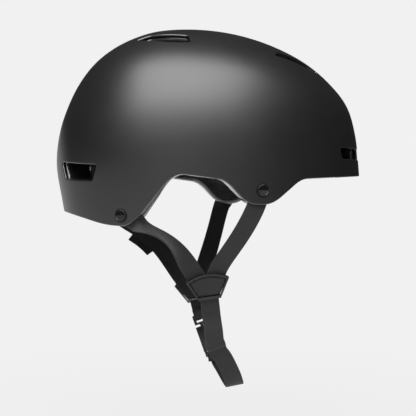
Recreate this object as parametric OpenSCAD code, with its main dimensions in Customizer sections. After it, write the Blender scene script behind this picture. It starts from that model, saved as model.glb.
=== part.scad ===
// Open-face hard-shell helmet for bikes and skating, with webbing straps and a buckle.
// Frame: +X forward, +Y to the wearer's left, +Z up, in millimetres.
// The origin is where the head sits: the middle of the shell, at the height of the brow edge.
// Pieces that come in pairs are drawn on the left, where Y is outward, and mirrored to the right.

/* [Shell] */
// Reach of the shell in front of the origin
shell_front = 143.2; // [130:0.1:160]
// Reach of the shell behind the origin
shell_rear = 142.1; // [130:0.1:160]
// Half of the shell's greatest width
shell_half_w = 108; // [100:0.5:118]
// Height of the crown above the brow edge
crown_h = 137.2; // [130:0.1:150]
// Wall of the shell
shell_t = 2.6; // [2:0.1:3.2]

/* [Lower edge] */
// Height of the edge at the back of the neck
nape_z = -28; // [-34:0.5:-22]
// Height of the rear lobes' lowest edge
rear_lobe_z = -45; // [-50:0.5:-40]
// Height of the arch over the ear
arch_z = 1.4; // [-4:0.2:8]
// Height of the front lobes' lowest edge
front_lobe_z = -26; // [-32:0.5:-22]

/* [Foam liner] */
// Thickness of the foam at the sides
liner_side_t = 26; // [22:0.5:30]
// Thickness of the foam at the front, the back and the crown
liner_end_t = 34; // [28:0.5:38]
// Share of that thickness left at the lower edge
liner_edge_share = 0.68; // [0.6:0.01:0.9]
// Gap between the shell and the foam
liner_gap = 0.3; // [0.2:0.05:0.5]

/* [Vents] */
// Width of the solid bridge between the two brow vents
brow_bridge = 36; // [24:1:50]
// Height of the brow vents
brow_vent_h = 10; // [7:0.5:13]
// Radius of the vents' corners
vent_corner = 2.2; // [1:0.1:3]

/* [Comfort pads] */
// Thickness of a pad at its crown
pad_t = 8; // [5:0.5:10]
// Thickness of a hook patch under a pad
patch_t = 0.9; // [0.6:0.1:1.2]
// Gap on each side of a hook patch
patch_gap = 0.7; // [0.6:0.05:0.8]

/* [Rivets] */
// Diameter of a rivet's dished head
rivet_head_d = 10.8; // [9:0.1:12]
// Thickness of a rivet's head
rivet_head_t = 2.2; // [1.8:0.1:2.6]
// Diameter of a rivet's shank
rivet_shank_d = 4.4; // [3.5:0.1:5]
// Diameter of the washer behind the strap
washer_d = 13; // [11:0.5:15]
// Thickness of that washer
washer_t = 1.2; // [0.8:0.1:1.5]

/* [Webbing] */
// Width of the webbing
web_w = 17; // [15:0.5:20]
// Thickness of the webbing
web_t = 1.2; // [0.9:0.1:1.4]

/* [Strap dividers] */
// Thickness of a divider's plate
divider_t = 2.4; // [1.8:0.1:3]
// Height of a divider's plate up to the top of its arch
divider_h = 25; // [23:0.5:28]
// Half of a divider's width at its tips
divider_tip = 19.7; // [18:0.1:23]
// Lean of the dividers away from the head, in degrees
divider_lean = 20; // [15:1:25]

/* [Buckle] */
// Width of the buckle
buckle_w = 21.4; // [21.4:0.2:26]
// Thickness of the buckle's socket
socket_t = 8.6; // [8:0.2:10]
// Length of the buckle's socket
socket_l = 30.6; // [30:0.2:32]
// Thickness of the buckle's plug at its bar
plug_t = 4; // [3.6:0.2:4.6]
// Lean of the buckle forward, going down, in degrees
buckle_lean = 19; // [15:1:23]

/* [Hidden] */
$fn = 48;

// Small helpers
function mix(a, b, f) = a + (b - a) * f;
function unit(v) = v / norm(v);
function smooth(f) = let (c = min(1, max(0, f))) c * c * (3 - 2 * c);
function mean(list) = [for (k = [0:2]) let (s = [for (p = list) p[k]]) sum(s) / len(s)];
function sum(list, k = 0) = k == len(list) ? 0 : list[k] + sum(list, k + 1);
function turn(v, axis, angle) =
    v * cos(angle) + cross(axis, v) * sin(angle) + axis * (axis * v) * (1 - cos(angle));
function flip(p) = [p.x, -p.y, p.z];

// Dome. Its rings are superellipses, each drawn at a level from 0 at the crown to 1 at the skirt.
// The three tables give how far a ring reaches forward, back and to the side, as a share of the
// shell's full reach there, at even steps of level.
FRONT_SHARE = [0, 0.186, 0.359, 0.526, 0.683, 0.814, 0.919, 0.967, 0.987, 0.999, 1];
REAR_SHARE = [0, 0.224, 0.391, 0.555, 0.699, 0.814, 0.905, 0.973, 0.996, 0.953, 0.897];
SIDE_SHARE = [0, 0.204, 0.398, 0.574, 0.731, 0.856, 0.944, 0.991, 1, 0.981, 0.935];
crown_x = -20;
mid_x = -2;
skirt_z = -61;
drop = crown_h - skirt_z;
centre_level = 0.7;
square_gain = 0.35;

function share(t, s) =
    let (n = len(t) - 1, k = min(n - 1, max(0, floor(s * n))), f = s * n - k,
         a = t[k], b = t[k + 1],
         ma = k == 0 ? b - a : (b - t[k - 1]) / 2,
         mb = k == n - 1 ? b - a : (t[k + 2] - a) / 2)
    a + f * (ma + f * (3 * (b - a) - 2 * ma - mb + f * (2 * (a - b) + ma + mb)));
function ring_centre(s) = mix(crown_x, mid_x, min(1, s / centre_level));
function reach_front(s) = crown_x + (shell_front - crown_x) * share(FRONT_SHARE, s) - ring_centre(s);
function reach_rear(s) = ring_centre(s) - crown_x + (shell_rear + crown_x) * share(REAR_SHARE, s);
function reach_side(s) = shell_half_w * share(SIDE_SHARE, s);
function squareness(s) = 2 + square_gain * s;
function level(z) = sqrt((crown_h - z) / drop);

// Point of the dome at azimuth u, in degrees from the front, and level s
function dome(u, s) =
    let (c = ring_centre(s), a = cos(u) >= 0 ? reach_front(s) : reach_rear(s), n = squareness(s),
         r = pow(pow(abs(cos(u)) / a, n) + pow(abs(sin(u)) / reach_side(s), n), -1 / n))
    [c + r * cos(u), r * sin(u), crown_h - drop * s * s];
function dome_normal(u, s) =
    let (du = 0.5, ds = 0.004)
    unit(cross(dome(u, s + ds) - dome(u, s - ds), dome(u + du, s) - dome(u - du, s)));

// Half width of the dome at a length and height, and how far forward it reaches at a width
function wall_w(x, z) =
    let (s = level(z), c = ring_centre(s), a = x >= c ? reach_front(s) : reach_rear(s),
         n = squareness(s))
    reach_side(s) * pow(max(0, 1 - pow(abs(x - c) / a, n)), 1 / n);
function brow_x(y, z) =
    let (s = level(z), n = squareness(s))
    ring_centre(s) + reach_front(s) * pow(1 - pow(y / reach_side(s), n), 1 / n);
function wall_normal(x, z) =
    let (e = 0.5)
    unit([wall_w(x - e, z) - wall_w(x + e, z), 2 * e, wall_w(x, z - e) - wall_w(x, z + e)]);
function wall_point(x, z, depth) = [x, wall_w(x, z), z] - depth * wall_normal(x, z);

// Level of the dome above a point of the ground plan
function beyond(x, y, s) =
    let (c = ring_centre(s), a = x >= c ? reach_front(s) : reach_rear(s), n = squareness(s))
    pow(abs(x - c) / a, n) + pow(y / reach_side(s), n) > 1;
function plan_level(x, y, lo = 0.01, hi = 1, n = 16) =
    let (m = (lo + hi) / 2)
    n == 0 ? m : beyond(x, y, m) ? plan_level(x, y, m, hi, n - 1) : plan_level(x, y, lo, m, n - 1);
function roof_point(x, y) = let (s = plan_level(x, y)) [x, y, crown_h - drop * s * s];

// Lower edge, seen from the side: straight runs between corners of [x, z, radius of rounding]
EDGE = [
    [-150, nape_z, 0],
    [-100, rear_lobe_z + 0.8, 10],
    [-78.5, rear_lobe_z, 9],
    [-43, arch_z, 10],
    [1.8, arch_z - 5.8, 7],
    [22, front_lobe_z, 8],
    [44.3, front_lobe_z, 8],
    [71, -3.6, 6],
    [150, 0.6, 0]
];
function ramp(t, r) = t <= -r ? 0 : t >= r ? t : (t + r) * (t + r) / (4 * r);
function edge_slope(k) = (EDGE[k + 1][1] - EDGE[k][1]) / (EDGE[k + 1][0] - EDGE[k][0]);
function edge_z(x) =
    EDGE[0][1] + edge_slope(0) * (x - EDGE[0][0])
    + sum([for (k = [1:len(EDGE) - 2])
           (edge_slope(k) - edge_slope(k - 1)) * ramp(x - EDGE[k][0], EDGE[k][2])]);
function over_edge(u, s) = let (p = dome(u, s)) p.z > edge_z(p.x);
function edge_level(u, lo = 0.6, hi = 1, n = 16) =
    let (m = (lo + hi) / 2)
    n == 0 ? m : over_edge(u, m) ? edge_level(u, m, hi, n - 1) : edge_level(u, lo, m, n - 1);

// Walls follow the dome at a depth. Near the edge the depth runs level, so the edge is flat.
edge_zone = 0.7;
function inner_point(u, s, v, depth) =
    let (n = dome_normal(u, s), flat = smooth((v - edge_zone) / (1 - edge_zone)))
    dome(u, s) - depth * unit([n.x, n.y, n.z * (1 - flat)]);
function liner_t(u, v) =
    let (ends = pow(cos(u), 2), body = mix(liner_side_t, liner_end_t, max(ends, smooth(1.6 - 3 * v))))
    body * mix(1, liner_edge_share, smooth((v - 0.6) / 0.4));
function liner_depth(u, v) = shell_t + liner_gap + liner_t(u, v);

// Grid of a domed wall: azimuths lie closer together at the sides, where the edge bends most
AZIMUTHS = 112;
RINGS = 13;
side_pull = 11;
AZ = [for (i = [0:AZIMUTHS - 1]) let (t = 360 * i / AZIMUTHS) t + side_pull * sin(2 * t)];
EDGE_LEVEL = [for (u = AZ) edge_level(u)];
// Surfaces of the two walls: outside and inside of the shell, outside and inside of the foam
SHELL_OUT = 0;
SHELL_IN = 1;
FOAM_OUT = 2;
FOAM_IN = 3;
function depth_of(surface, u, v) =
    surface == SHELL_OUT ? 0
    : surface == SHELL_IN ? shell_t
    : surface == FOAM_OUT ? shell_t + liner_gap
    : liner_depth(u, v);
function wall_grid(surface) = concat(
    [[crown_x, 0, crown_h - depth_of(surface, 0, 0)]],
    [for (j = [1:RINGS]) for (i = [0:AZIMUTHS - 1])
        let (v = j / RINGS) inner_point(AZ[i], EDGE_LEVEL[i] * v, v, depth_of(surface, AZ[i], v))]);
function at(j, i) = 1 + (j - 1) * AZIMUTHS + (i % AZIMUTHS);
module domed_wall(outside, inside) {
    points = concat(wall_grid(outside), wall_grid(inside));
    skip = 1 + RINGS * AZIMUTHS;
    span = [0:AZIMUTHS - 1];
    fan = [for (i = span) [0, at(1, i + 1), at(1, i)]];
    quads = [for (j = [1:RINGS - 1]) for (i = span) each [
        [at(j, i), at(j, i + 1), at(j + 1, i + 1)], [at(j, i), at(j + 1, i + 1), at(j + 1, i)]]];
    outer = concat(fan, quads);
    inner = [for (f = outer) [skip + f[2], skip + f[1], skip + f[0]]];
    rim = [for (i = span) each [
        [at(RINGS, i), at(RINGS, i + 1), skip + at(RINGS, i + 1)],
        [at(RINGS, i), skip + at(RINGS, i + 1), skip + at(RINGS, i)]]];
    polyhedron(points, concat(outer, inner, rim), convexity = 6);
}

// Places a child on the dome at a point, with its Z along the outward normal and its Y upward
module on_dome(point, normal) {
    ex = unit(cross([0, 0, 1], normal));
    ey = cross(normal, ex);
    multmatrix([
        [ex.x, ey.x, normal.x, point.x],
        [ex.y, ey.y, normal.y, point.y],
        [ex.z, ey.z, normal.z, point.z],
        [0, 0, 0, 1]]) children();
}
module both_sides() {
    children();
    mirror([0, 1, 0]) children();
}

// Outline with its corners rounded
function rounded(p, r, steps = 3) = [
    for (k = [0:len(p) - 1])
        let (b = p[k], a = p[(k + len(p) - 1) % len(p)], c = p[(k + 1) % len(p)],
             from = b + unit(a - b) * min(r, norm(a - b) / 2),
             to = b + unit(c - b) * min(r, norm(c - b) / 2))
        for (q = [0:steps]) let (f = q / steps) mix(mix(from, b, f), mix(b, to, f), f)];

// Vents, as outlines on the dome's left half
REAR_VENT = [for (p = [[-137, 12.4], [-108, 9], [-111.5, -5], [-134, -2.6]])
    [p[0], wall_w(p[0], p[1]), p[1]]];
CROWN_VENT = [for (p = [[-70, 32], [-63, 40.5], [-56.5, 47], [-46, 55], [-35, 59.8], [-22.8, 61.6],
                        [-24.2, 48.5], [-40, 41], [-58, 31]]) roof_point(p[0], p[1])];
FORE_VENT = [for (p = [[54, 59], [64, 55.4], [75, 51.2], [86, 46.8], [96, 41],
                       [98, 29], [77, 38], [58, 47.5]]) roof_point(p[0], p[1])];
brow_vent_top = 25;
BROW_VENT = [for (p = [[brow_bridge / 2, 0], [45, 0], [72, 0], [71, brow_vent_h],
                       [45, brow_vent_h], [brow_bridge / 2, brow_vent_h]])
    let (z = brow_vent_top - p[1]) [brow_x(p[0], z), p[0], z]];
vent_reach = 46;
vent_rise = 12;
module vent(outline) {
    c = mean(outline);
    s = level(c.z);
    normal = dome_normal(atan2(c.y, c.x - ring_centre(s)), s);
    ex = unit(cross([0, 0, 1], normal));
    ey = cross(normal, ex);
    flat = [for (p = outline) [(p - c) * ex, (p - c) * ey]];
    on_dome(c, normal)
        translate([0, 0, -vent_reach])
            linear_extrude(vent_reach + vent_rise) polygon(rounded(flat, vent_corner));
}
module vents() {
    both_sides() for (outline = [REAR_VENT, CROWN_VENT, FORE_VENT, BROW_VENT]) vent(outline);
}

// Rivets: places on the left wall as [x, z]. The strap leaves each one at an angle in the wall,
// counted from forward, with down as minus 90.
FRONT_RIVET = [35.7, front_lobe_z + 12.4];
REAR_RIVET = [-87.3, rear_lobe_z + 9.6];
front_lead_right = -111;
front_lead_left = -122;
rear_lead_right = -28;
rear_lead_left = -32;
head_proud = 1.2;
strap_gap = 0.8;
strap_depth = shell_t + strap_gap + web_t / 2;
washer_depth = strap_depth + web_t / 2 + 0.3;
pocket_depth = washer_depth + washer_t + 1.8;
hole_gap = 0.25;
module on_wall(place) on_dome(wall_point(place[0], place[1], 0), wall_normal(place[0], place[1]))
    children();
module rivet_hole() {
    translate([0, 0, -20]) cylinder(d = rivet_shank_d + 2 * hole_gap, h = 40);
    translate([0, 0, head_proud - rivet_head_t - 0.2])
        cylinder(d = rivet_head_d + 2 * hole_gap, h = rivet_head_t + 5);
}

module shell() {
    color("#2b2b2d") difference() {
        domed_wall(SHELL_OUT, SHELL_IN);
        vents();
        both_sides() for (place = [FRONT_RIVET, REAR_RIVET]) on_wall(place) rivet_hole();
    }
}

// Foam liner, with a pocket behind each rivet for the end of its strap
pocket_side = 2.5;
pocket_above = 12;
pocket_below = 34;
module strap_pocket(place, lead) {
    on_wall(place) rotate(180 - lead)
        translate([-pocket_above, -web_w / 2 - pocket_side, -pocket_depth])
            cube([pocket_above + pocket_below, web_w + 2 * pocket_side, pocket_depth]);
}
module liner() {
    color("#1f2021") difference() {
        domed_wall(FOAM_OUT, FOAM_IN);
        vents();
        strap_pocket(FRONT_RIVET, front_lead_left);
        strap_pocket(REAR_RIVET, rear_lead_left);
        mirror([0, 1, 0]) {
            strap_pocket(FRONT_RIVET, front_lead_right);
            strap_pocket(REAR_RIVET, rear_lead_right);
        }
    }
}

// Cushion that follows the inside of the foam between two azimuths and two levels.
// Its faces come together at the edges, and its corners are drawn in.
corner_pull = 0.3;
edge_fill = 0.35;
function pad_point(u, s, extra) =
    let (v = s / edge_level(u)) inner_point(u, s, v, liner_depth(u, v) + extra);
function crown_of(a, b) = mix(edge_fill, 1, pow((1 - pow(a, 4)) * (1 - pow(b, 4)), 0.6));
function pad_grid(u, s, base, t, n, m) = [
    for (j = [0:m]) for (i = [0:n])
        let (a = 2 * i / n - 1, b = 2 * j / m - 1,
             pa = a * sqrt(1 - corner_pull * b * b), pb = b * sqrt(1 - corner_pull * a * a),
             extra = base + t * (t > 2 ? crown_of(a, b) : 1))
        pad_point(mix(u[0], u[1], (1 + pa) / 2), mix(s[0], s[1], (1 + pb) / 2), extra)];
module cushion(u, s, base, t, n, m) {
    back = pad_grid(u, s, base, 0, n, m);
    face = pad_grid(u, s, base, t, n, m);
    w = n + 1;
    skip = len(back);
    sheet = [for (j = [0:m - 1]) for (i = [0:n - 1]) let (k = j * w + i)
        each [[k, k + 1, k + w + 1], [k, k + w + 1, k + w]]];
    round = concat([for (i = [0:n - 1]) i], [for (j = [0:m - 1]) j * w + n],
                   [for (i = [n:-1:1]) m * w + i], [for (j = [m:-1:1]) j * w]);
    side = [for (k = [0:len(round) - 1]) let (a = round[k], b = round[(k + 1) % len(round)])
        each [[b, a, skip + a], [b, skip + a, skip + b]]];
    front = [for (f = sheet) [skip + f[2], skip + f[1], skip + f[0]]];
    polyhedron(concat(back, face), concat(sheet, front, side), convexity = 4);
}
pad_base = patch_t + 2 * patch_gap;
function levels(z_top, z_low) = [level(z_top), level(z_low)];
module pad(u, s, n, m) color("#18181a") cushion(u, s, pad_base, pad_t, n, m);
module patch(u, s) cushion(u, s, patch_gap, patch_t, 4, 4);

brow_pad_top = 40;
brow_pad_low = 8;
rear_pad_top = 22;
rear_pad_low = -16;
side_pad_top = 66;
side_pad_low = 22;
BROW_PAD = levels(brow_pad_top, brow_pad_low);
REAR_PAD = levels(rear_pad_top, rear_pad_low);
SIDE_PAD = levels(side_pad_top, side_pad_low);
brow_half = 58;
rear_half = 46;
side_from = 68;
side_to = 122;
module pad_brow() pad([-brow_half, brow_half], BROW_PAD, 26, 8);
module pad_rear() pad([180 - rear_half, 180 + rear_half], REAR_PAD, 22, 8);
module pad_left() pad([side_from, side_to], SIDE_PAD, 14, 10);
module pad_right() mirror([0, 1, 0]) pad_left();

// Crown pad: an oval cushion, drawn as rings around the crown
crown_pad_level = 0.33;
crown_rings = 5;
crown_sides = 28;
function crown_ring(level, extra) = [for (i = [0:crown_sides - 1])
    pad_point(360 * i / crown_sides, level, extra)];
function crown_cap(t, reach) = concat(
    [[crown_x, 0, crown_h - liner_depth(0, 0) - t]],
    [for (j = [1:crown_rings]) let (f = j / crown_rings)
        each crown_ring(reach * f, t * (t > 2 ? crown_of(f, 0) : 1))]);
module crown_oval(base, t, reach) {
    top = [for (p = crown_cap(0, reach)) p - [0, 0, base]];
    low = [for (p = crown_cap(t, reach)) p - [0, 0, base]];
    skip = len(top);
    n = crown_sides;
    function idx(j, i) = j == 0 ? 0 : 1 + (j - 1) * n + i % n;
    cap = [for (i = [0:n - 1]) [0, idx(1, i + 1), idx(1, i)]];
    bands = [for (j = [1:crown_rings - 1]) for (i = [0:n - 1]) each [
        [idx(j, i), idx(j, i + 1), idx(j + 1, i + 1)], [idx(j, i), idx(j + 1, i + 1), idx(j + 1, i)]]];
    upper = concat(cap, bands);
    lower = [for (f = upper) [skip + f[2], skip + f[1], skip + f[0]]];
    r = crown_rings;
    side = [for (i = [0:n - 1]) each [
        [idx(r, i), idx(r, i + 1), skip + idx(r, i + 1)], [idx(r, i), skip + idx(r, i + 1), skip + idx(r, i)]]];
    polyhedron(concat(top, low), concat(upper, lower, side), convexity = 4);
}
module pad_crown() color("#18181a") crown_oval(pad_base, pad_t, crown_pad_level);

// Hook patches that hold the pads on the foam
patch_half = 7;
module hook_patches() {
    color("#0e0e0f") {
        for (u = [-40, 0, 40]) patch([u - patch_half, u + patch_half],
            levels(brow_pad_top - patch_half, brow_pad_low + patch_half - 1));
        for (u = [155, 205]) patch([u - patch_half, u + patch_half],
            levels(rear_pad_top - patch_half, rear_pad_low + patch_half + 1));
        both_sides() patch([95 - patch_half, 95 + patch_half],
            levels(side_pad_top - 11, side_pad_low + 12));
        crown_oval(patch_gap, patch_t, crown_pad_level / 2);
    }
}

// Rivet: a dished head outside, a shank through the wall and the strap, a washer inside
dish_r = 8.6;
dish_depth = 1.1;
module rivet_cap() {
    top = head_proud;
    difference() {
        union() {
            translate([0, 0, top - rivet_head_t]) cylinder(d = rivet_head_d, h = rivet_head_t);
            translate([0, 0, -washer_depth - washer_t])
                cylinder(d = rivet_shank_d, h = washer_depth + washer_t);
        }
        translate([0, 0, top + dish_r - dish_depth]) sphere(r = dish_r);
    }
}
module rivet_caps() {
    color("#29292b") both_sides()
        for (place = [FRONT_RIVET, REAR_RIVET]) on_wall(place) rivet_cap();
}
washer_fit = 0.05;
module washer() {
    translate([0, 0, -washer_depth - washer_t]) difference() {
        cylinder(d = washer_d, h = washer_t);
        translate([0, 0, -1]) cylinder(d = rivet_shank_d + 2 * washer_fit, h = washer_t + 2);
    }
}
module rivet_washers() {
    color("#8d8f92") both_sides()
        for (place = [FRONT_RIVET, REAR_RIVET]) on_wall(place) washer();
}

// Ribbon of webbing swept along stations of [point, direction across the webbing]
function ribbon_rings(st, w, t) = [
    for (k = [0:len(st) - 1])
        let (p = st[k][0],
             run = unit(st[min(k + 1, len(st) - 1)][0] - st[max(k - 1, 0)][0]),
             across = unit(st[k][1] - run * (run * st[k][1])),
             out = cross(run, across))
        each [p - across * w / 2 - out * t / 2, p + across * w / 2 - out * t / 2,
              p + across * w / 2 + out * t / 2, p - across * w / 2 + out * t / 2]];
module ribbon(st, w = web_w, t = web_t) {
    n = len(st);
    ends = [[0, 2, 1], [0, 3, 2], [4 * n - 4, 4 * n - 3, 4 * n - 2], [4 * n - 4, 4 * n - 2, 4 * n - 1]];
    sides = [for (k = [0:n - 2]) for (q = [0:3])
        let (a = 4 * k + q, b = 4 * k + (q + 1) % 4) each [[a, b, b + 4], [a, b + 4, a + 4]]];
    polyhedron(ribbon_rings(st, w, t), concat(ends, sides), convexity = 6);
}
function spline(p, steps) = [
    for (k = [0:len(p) - 2]) for (q = [0:(k == len(p) - 2 ? steps : steps - 1)])
        let (f = q / steps, a = p[max(k - 1, 0)], b = p[k], c = p[k + 1], d = p[min(k + 2, len(p) - 1)])
        [for (m = [0:1]) catmull(a[m], b[m], c[m], d[m], f)]];
function catmull(a, b, c, d, f) =
    0.5 * (2 * b + (c - a) * f + (2 * a - 5 * b + 4 * c - d) * f * f
           + (3 * b - a - 3 * c + d) * f * f * f);
function bezier(a, b, c, d, f) =
    mix(mix(mix(a, b, f), mix(b, c, f), f), mix(mix(b, c, f), mix(c, d, f), f), f);

// Dividers. In a divider's own frame the plate stands in the XZ plane with the middle of its lower
// edge at the origin, and Y points away from the head. Place is that point on the left side.
RIGHT_DIVIDER = [-4.1, 46, -112];
LEFT_DIVIDER = [-3.8, 46, -120.8];
right_roll = 8.5;
left_roll = 11;
function rolled(p, a) = [p.x * cos(a) - p.z * sin(a), p.y, p.x * sin(a) + p.z * cos(a)];
function leaned(p, b) = [p.x, p.y * cos(b) + p.z * sin(b), p.z * cos(b) - p.y * sin(b)];
function framed(place, lean, roll, p) = place + leaned(rolled(p, roll), lean);
function by_divider(place, roll, p) = framed(place, divider_lean, roll, p);
module at_frame(place, lean, roll) translate(place) rotate([-lean, 0, 0]) rotate([0, -roll, 0])
    children();

foot_half = web_w / 2 + 1.8;
tip_rise = 19;
bar_foot = 3.6;
bar_side = 2.6;
bar_arch = 3;
slot_gap = 0.4;
arch_rise = divider_h - tip_rise;
arch_r = (divider_tip * divider_tip + arch_rise * arch_rise) / (2 * arch_rise);
module plate_outline(foot, side, arch) {
    spread = (divider_tip - foot_half) / tip_rise;
    top = divider_h + 2;
    intersection() {
        polygon([[-foot_half + side - foot * spread, foot], [foot_half - side + foot * spread, foot],
                 [foot_half - side + top * spread, top], [-foot_half + side - top * spread, top]]);
        translate([0, divider_h - arch_r]) circle(r = arch_r - arch, $fn = 120);
    }
}
module divider() {
    back = divider_t / 2 + 2 * slot_gap + web_t;
    back_t = 1.6;
    back_h = bar_foot - 0.3;
    color("#242426") {
        rotate([90, 0, 0]) linear_extrude(divider_t, center = true) difference() {
            plate_outline(0, 0, 0);
            plate_outline(bar_foot, bar_side, bar_arch);
        }
        translate([-foot_half, -back - back_t, 0.1]) cube([2 * foot_half, back_t, back_h]);
        for (x = [-foot_half, web_w / 2 + slot_gap])
            translate([x, -back - 0.1, 0.1])
                cube([foot_half - web_w / 2 - slot_gap, back - divider_t / 2 + 0.2, back_h]);
    }
}
module divider_left() at_frame(LEFT_DIVIDER, divider_lean, left_roll) divider();
module divider_right() mirror([0, 1, 0]) at_frame(RIGHT_DIVIDER, divider_lean, right_roll) divider();

// A strap of the V: riveted in the wall, then free, then flat behind its divider
web_in = divider_t / 2 + slot_gap + web_t / 2;
junction_z = bar_foot + 0.5;
tail_up = 7.5;
front_exit = 14.5;
rear_exit = 13.5;
cross_z = 23.5;
front_cross = 8.3;
rear_cross = -10.5;
function wall_run(place, lead, d) =
    let (x = place[0] + d * cos(lead), z = place[1] + d * sin(lead)) wall_point(x, z, strap_depth);
function wall_across(place, lead, d) =
    let (x = place[0] + d * cos(lead), z = place[1] + d * sin(lead))
    cross(wall_run(place, lead, d + 1) - wall_run(place, lead, d - 1), wall_normal(x, z));
function tucked(cross_x, layer, f) =
    [cross_x * pow(1 - f, 1.4 + 0.6 * f), -layer, mix(cross_z, junction_z, f)];
function free_path(a, from, b, to, bulge, f) =
    bezier(a, a + from, b - to, b, f) + bulge * pow(sin(180 * f), 2);
function v_strap(place, lead, exit, base, roll, cross_x, layer, twist, slack, bulge, steps) =
    let (in = [for (d = [-tail_up, -tail_up / 2, 0, exit / 2])
               [wall_run(place, lead, d), unit(wall_across(place, lead, d))]],
         a = wall_run(place, lead, exit),
         start = unit(a - wall_run(place, lead, exit - 1)),
         b = by_divider(base, roll, [cross_x, -layer, cross_z]),
         finish = unit(by_divider(base, roll, tucked(cross_x, layer, 0.1)) - b),
         from_across = unit(wall_across(place, lead, exit)),
         plate_out = unit(by_divider(base, roll, [0, 1, 0]) - base),
         to_across = unit(cross(finish, plate_out)),
         foot_across = by_divider(base, roll, [1, 0, 0]) - base,
         free = [for (k = [0:steps]) let (
                 f = k / steps,
                 p = free_path(a, start * slack[0], b, finish * slack[1], bulge, f),
                 q = free_path(a, start * slack[0], b, finish * slack[1], bulge, f + 0.01))
             [p, turn(unit(mix(from_across, to_across, smooth(f))), unit(q - p),
                      twist * sin(180 * pow(min(1, f / 0.92), 0.6)))]],
         last = [for (f = [0.25, 0.5, 0.75, 0.92, 1])
             [by_divider(base, roll, tucked(cross_x, layer, f)), unit(mix(to_across, foot_across, f))]])
    concat(in, free, last);

front_layer = web_in;
rear_layer = web_in + web_t + 0.3;
STRAP_FRONT_RIGHT = v_strap(FRONT_RIVET, front_lead_right, front_exit, RIGHT_DIVIDER, right_roll,
                            front_cross, front_layer, 0, [18, 16], [1.5, 0, 0], 12);
STRAP_REAR_RIGHT = v_strap(REAR_RIVET, rear_lead_right, rear_exit, RIGHT_DIVIDER, right_roll,
                           rear_cross, rear_layer, 78, [22, 20], [1, 0, 4], 14);
STRAP_FRONT_LEFT = v_strap(FRONT_RIVET, front_lead_left, front_exit, LEFT_DIVIDER, left_roll,
                           front_cross, front_layer, 30, [10, 14], [1.5, 0, 0], 12);
STRAP_REAR_LEFT = v_strap(REAR_RIVET, rear_lead_left, rear_exit, LEFT_DIVIDER, left_roll,
                          rear_cross, rear_layer, 0, [22, 20], [1.2, 0, 4.6], 14);
module riveted_strap(stations, place) {
    color("#1d1d1f") difference() {
        ribbon(stations);
        on_wall(place) translate([0, 0, -strap_depth - 5])
            cylinder(d = rivet_shank_d + 2 * hole_gap, h = 10);
    }
}
module strap_front_left() riveted_strap(STRAP_FRONT_LEFT, FRONT_RIVET);
module strap_rear_left() riveted_strap(STRAP_REAR_LEFT, REAR_RIVET);
module strap_front_right() mirror([0, 1, 0]) riveted_strap(STRAP_FRONT_RIGHT, FRONT_RIVET);
module strap_rear_right() mirror([0, 1, 0]) riveted_strap(STRAP_REAR_RIGHT, REAR_RIVET);

// Blank label, folded and sewn to the lower edge of the left rear strap
label_from = 7;
label_to = 11;
label_out = 6;
label_t = 1;
LABEL = [for (k = [label_from:label_to])
    let (p = STRAP_REAR_LEFT[k], q = STRAP_REAR_LEFT[k + 1], run = unit(q[0] - p[0]),
         c = mix(p[1], q[1], 0.5), across = unit(c - run * (run * c)))
    [mix(p[0], q[0], 0.5) - across * (web_w / 2 + 0.3 + label_out / 2), across]];
module strap_label() color("#202022") ribbon(LABEL, label_out, label_t);

// Buckle. Its own frame has the top of the plug at the origin, Z up along the webbing and
// Y away from the head. It is turned a little about its length, as the webbing comes round.
BUCKLE = [-0.2, 37.6, -133.4];
buckle_tilt = 6;
buckle_turn = 18;
function spun(p, a) = [p.x * cos(a) + p.y * sin(a), p.y * cos(a) - p.x * sin(a), p.z];
function by_buckle(p) = framed(BUCKLE, buckle_tilt, buckle_lean, spun(p, buckle_turn));
module at_buckle()
    at_frame(BUCKLE, buckle_tilt, buckle_lean) rotate([0, 0, -buckle_turn]) children();
half_w = buckle_w / 2;
slot_half = web_w / 2 + 0.4;
top_bar = 2.4;
slot_low = -5.8;
frame_low = -7.8;
block_half = 6.2;
block_low = -8.6;
hinge_x = 4.4;
hinge_z = -8.4;
hinge_r = 1.5;
hinge_fit = 0.08;
arm_t = 3.6;
guide_half = 1.5;
guide_low = -25;
module plug_bar() {
    translate([-half_w, -plug_t / 2, -top_bar + plug_t / 2]) cube([buckle_w, plug_t, top_bar - plug_t / 2]);
    translate([-half_w, 0, -top_bar + plug_t / 2]) rotate([0, 90, 0]) cylinder(d = plug_t, h = buckle_w);
}
module buckle_plug() {
    color("#232325") at_buckle() {
        difference() {
            union() {
                plug_bar();
                for (x = [-half_w, slot_half])
                    translate([x, -plug_t / 2, frame_low])
                        cube([half_w - slot_half, plug_t, -frame_low - 1]);
                translate([-half_w, -plug_t / 2, frame_low]) cube([buckle_w, plug_t, slot_low - frame_low]);
                translate([-block_half, -plug_t / 2, block_low])
                    cube([2 * block_half, plug_t, slot_low - block_low]);
            }
            for (x = [-hinge_x, hinge_x])
                translate([x, -5, hinge_z]) rotate([-90, 0, 0]) cylinder(r = hinge_r + hinge_fit, h = 10);
        }
        translate([-guide_half, -1.7, guide_low]) cube([2 * guide_half, 3.4, block_low - guide_low + 0.5]);
    }
}

// Prong: an arm that bends at its root. Its button shows in the side window of the socket.
button_top = -15.4;
button_low = -26.4;
window_gap = 0.5;
module prong() {
    translate([hinge_x, arm_t / 2, hinge_z]) rotate([90, 0, 0]) cylinder(r = hinge_r, h = arm_t);
    rotate([90, 0, 0]) linear_extrude(arm_t, center = true) polygon([
        [hinge_x - 1, hinge_z], [hinge_x + 1, hinge_z], [half_w - 3, button_top + 1.2],
        [half_w - 1.2, button_top], [half_w - 0.4, button_top - 3], [half_w - 0.4, button_low + 6],
        [half_w - 2.2, button_low], [half_w - 4.6, button_low], [half_w - 4.8, button_top]]);
}
module prong_front() color("#262628") at_buckle() prong();
module prong_rear() color("#262628") at_buckle() mirror([1, 0, 0]) prong();

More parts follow.
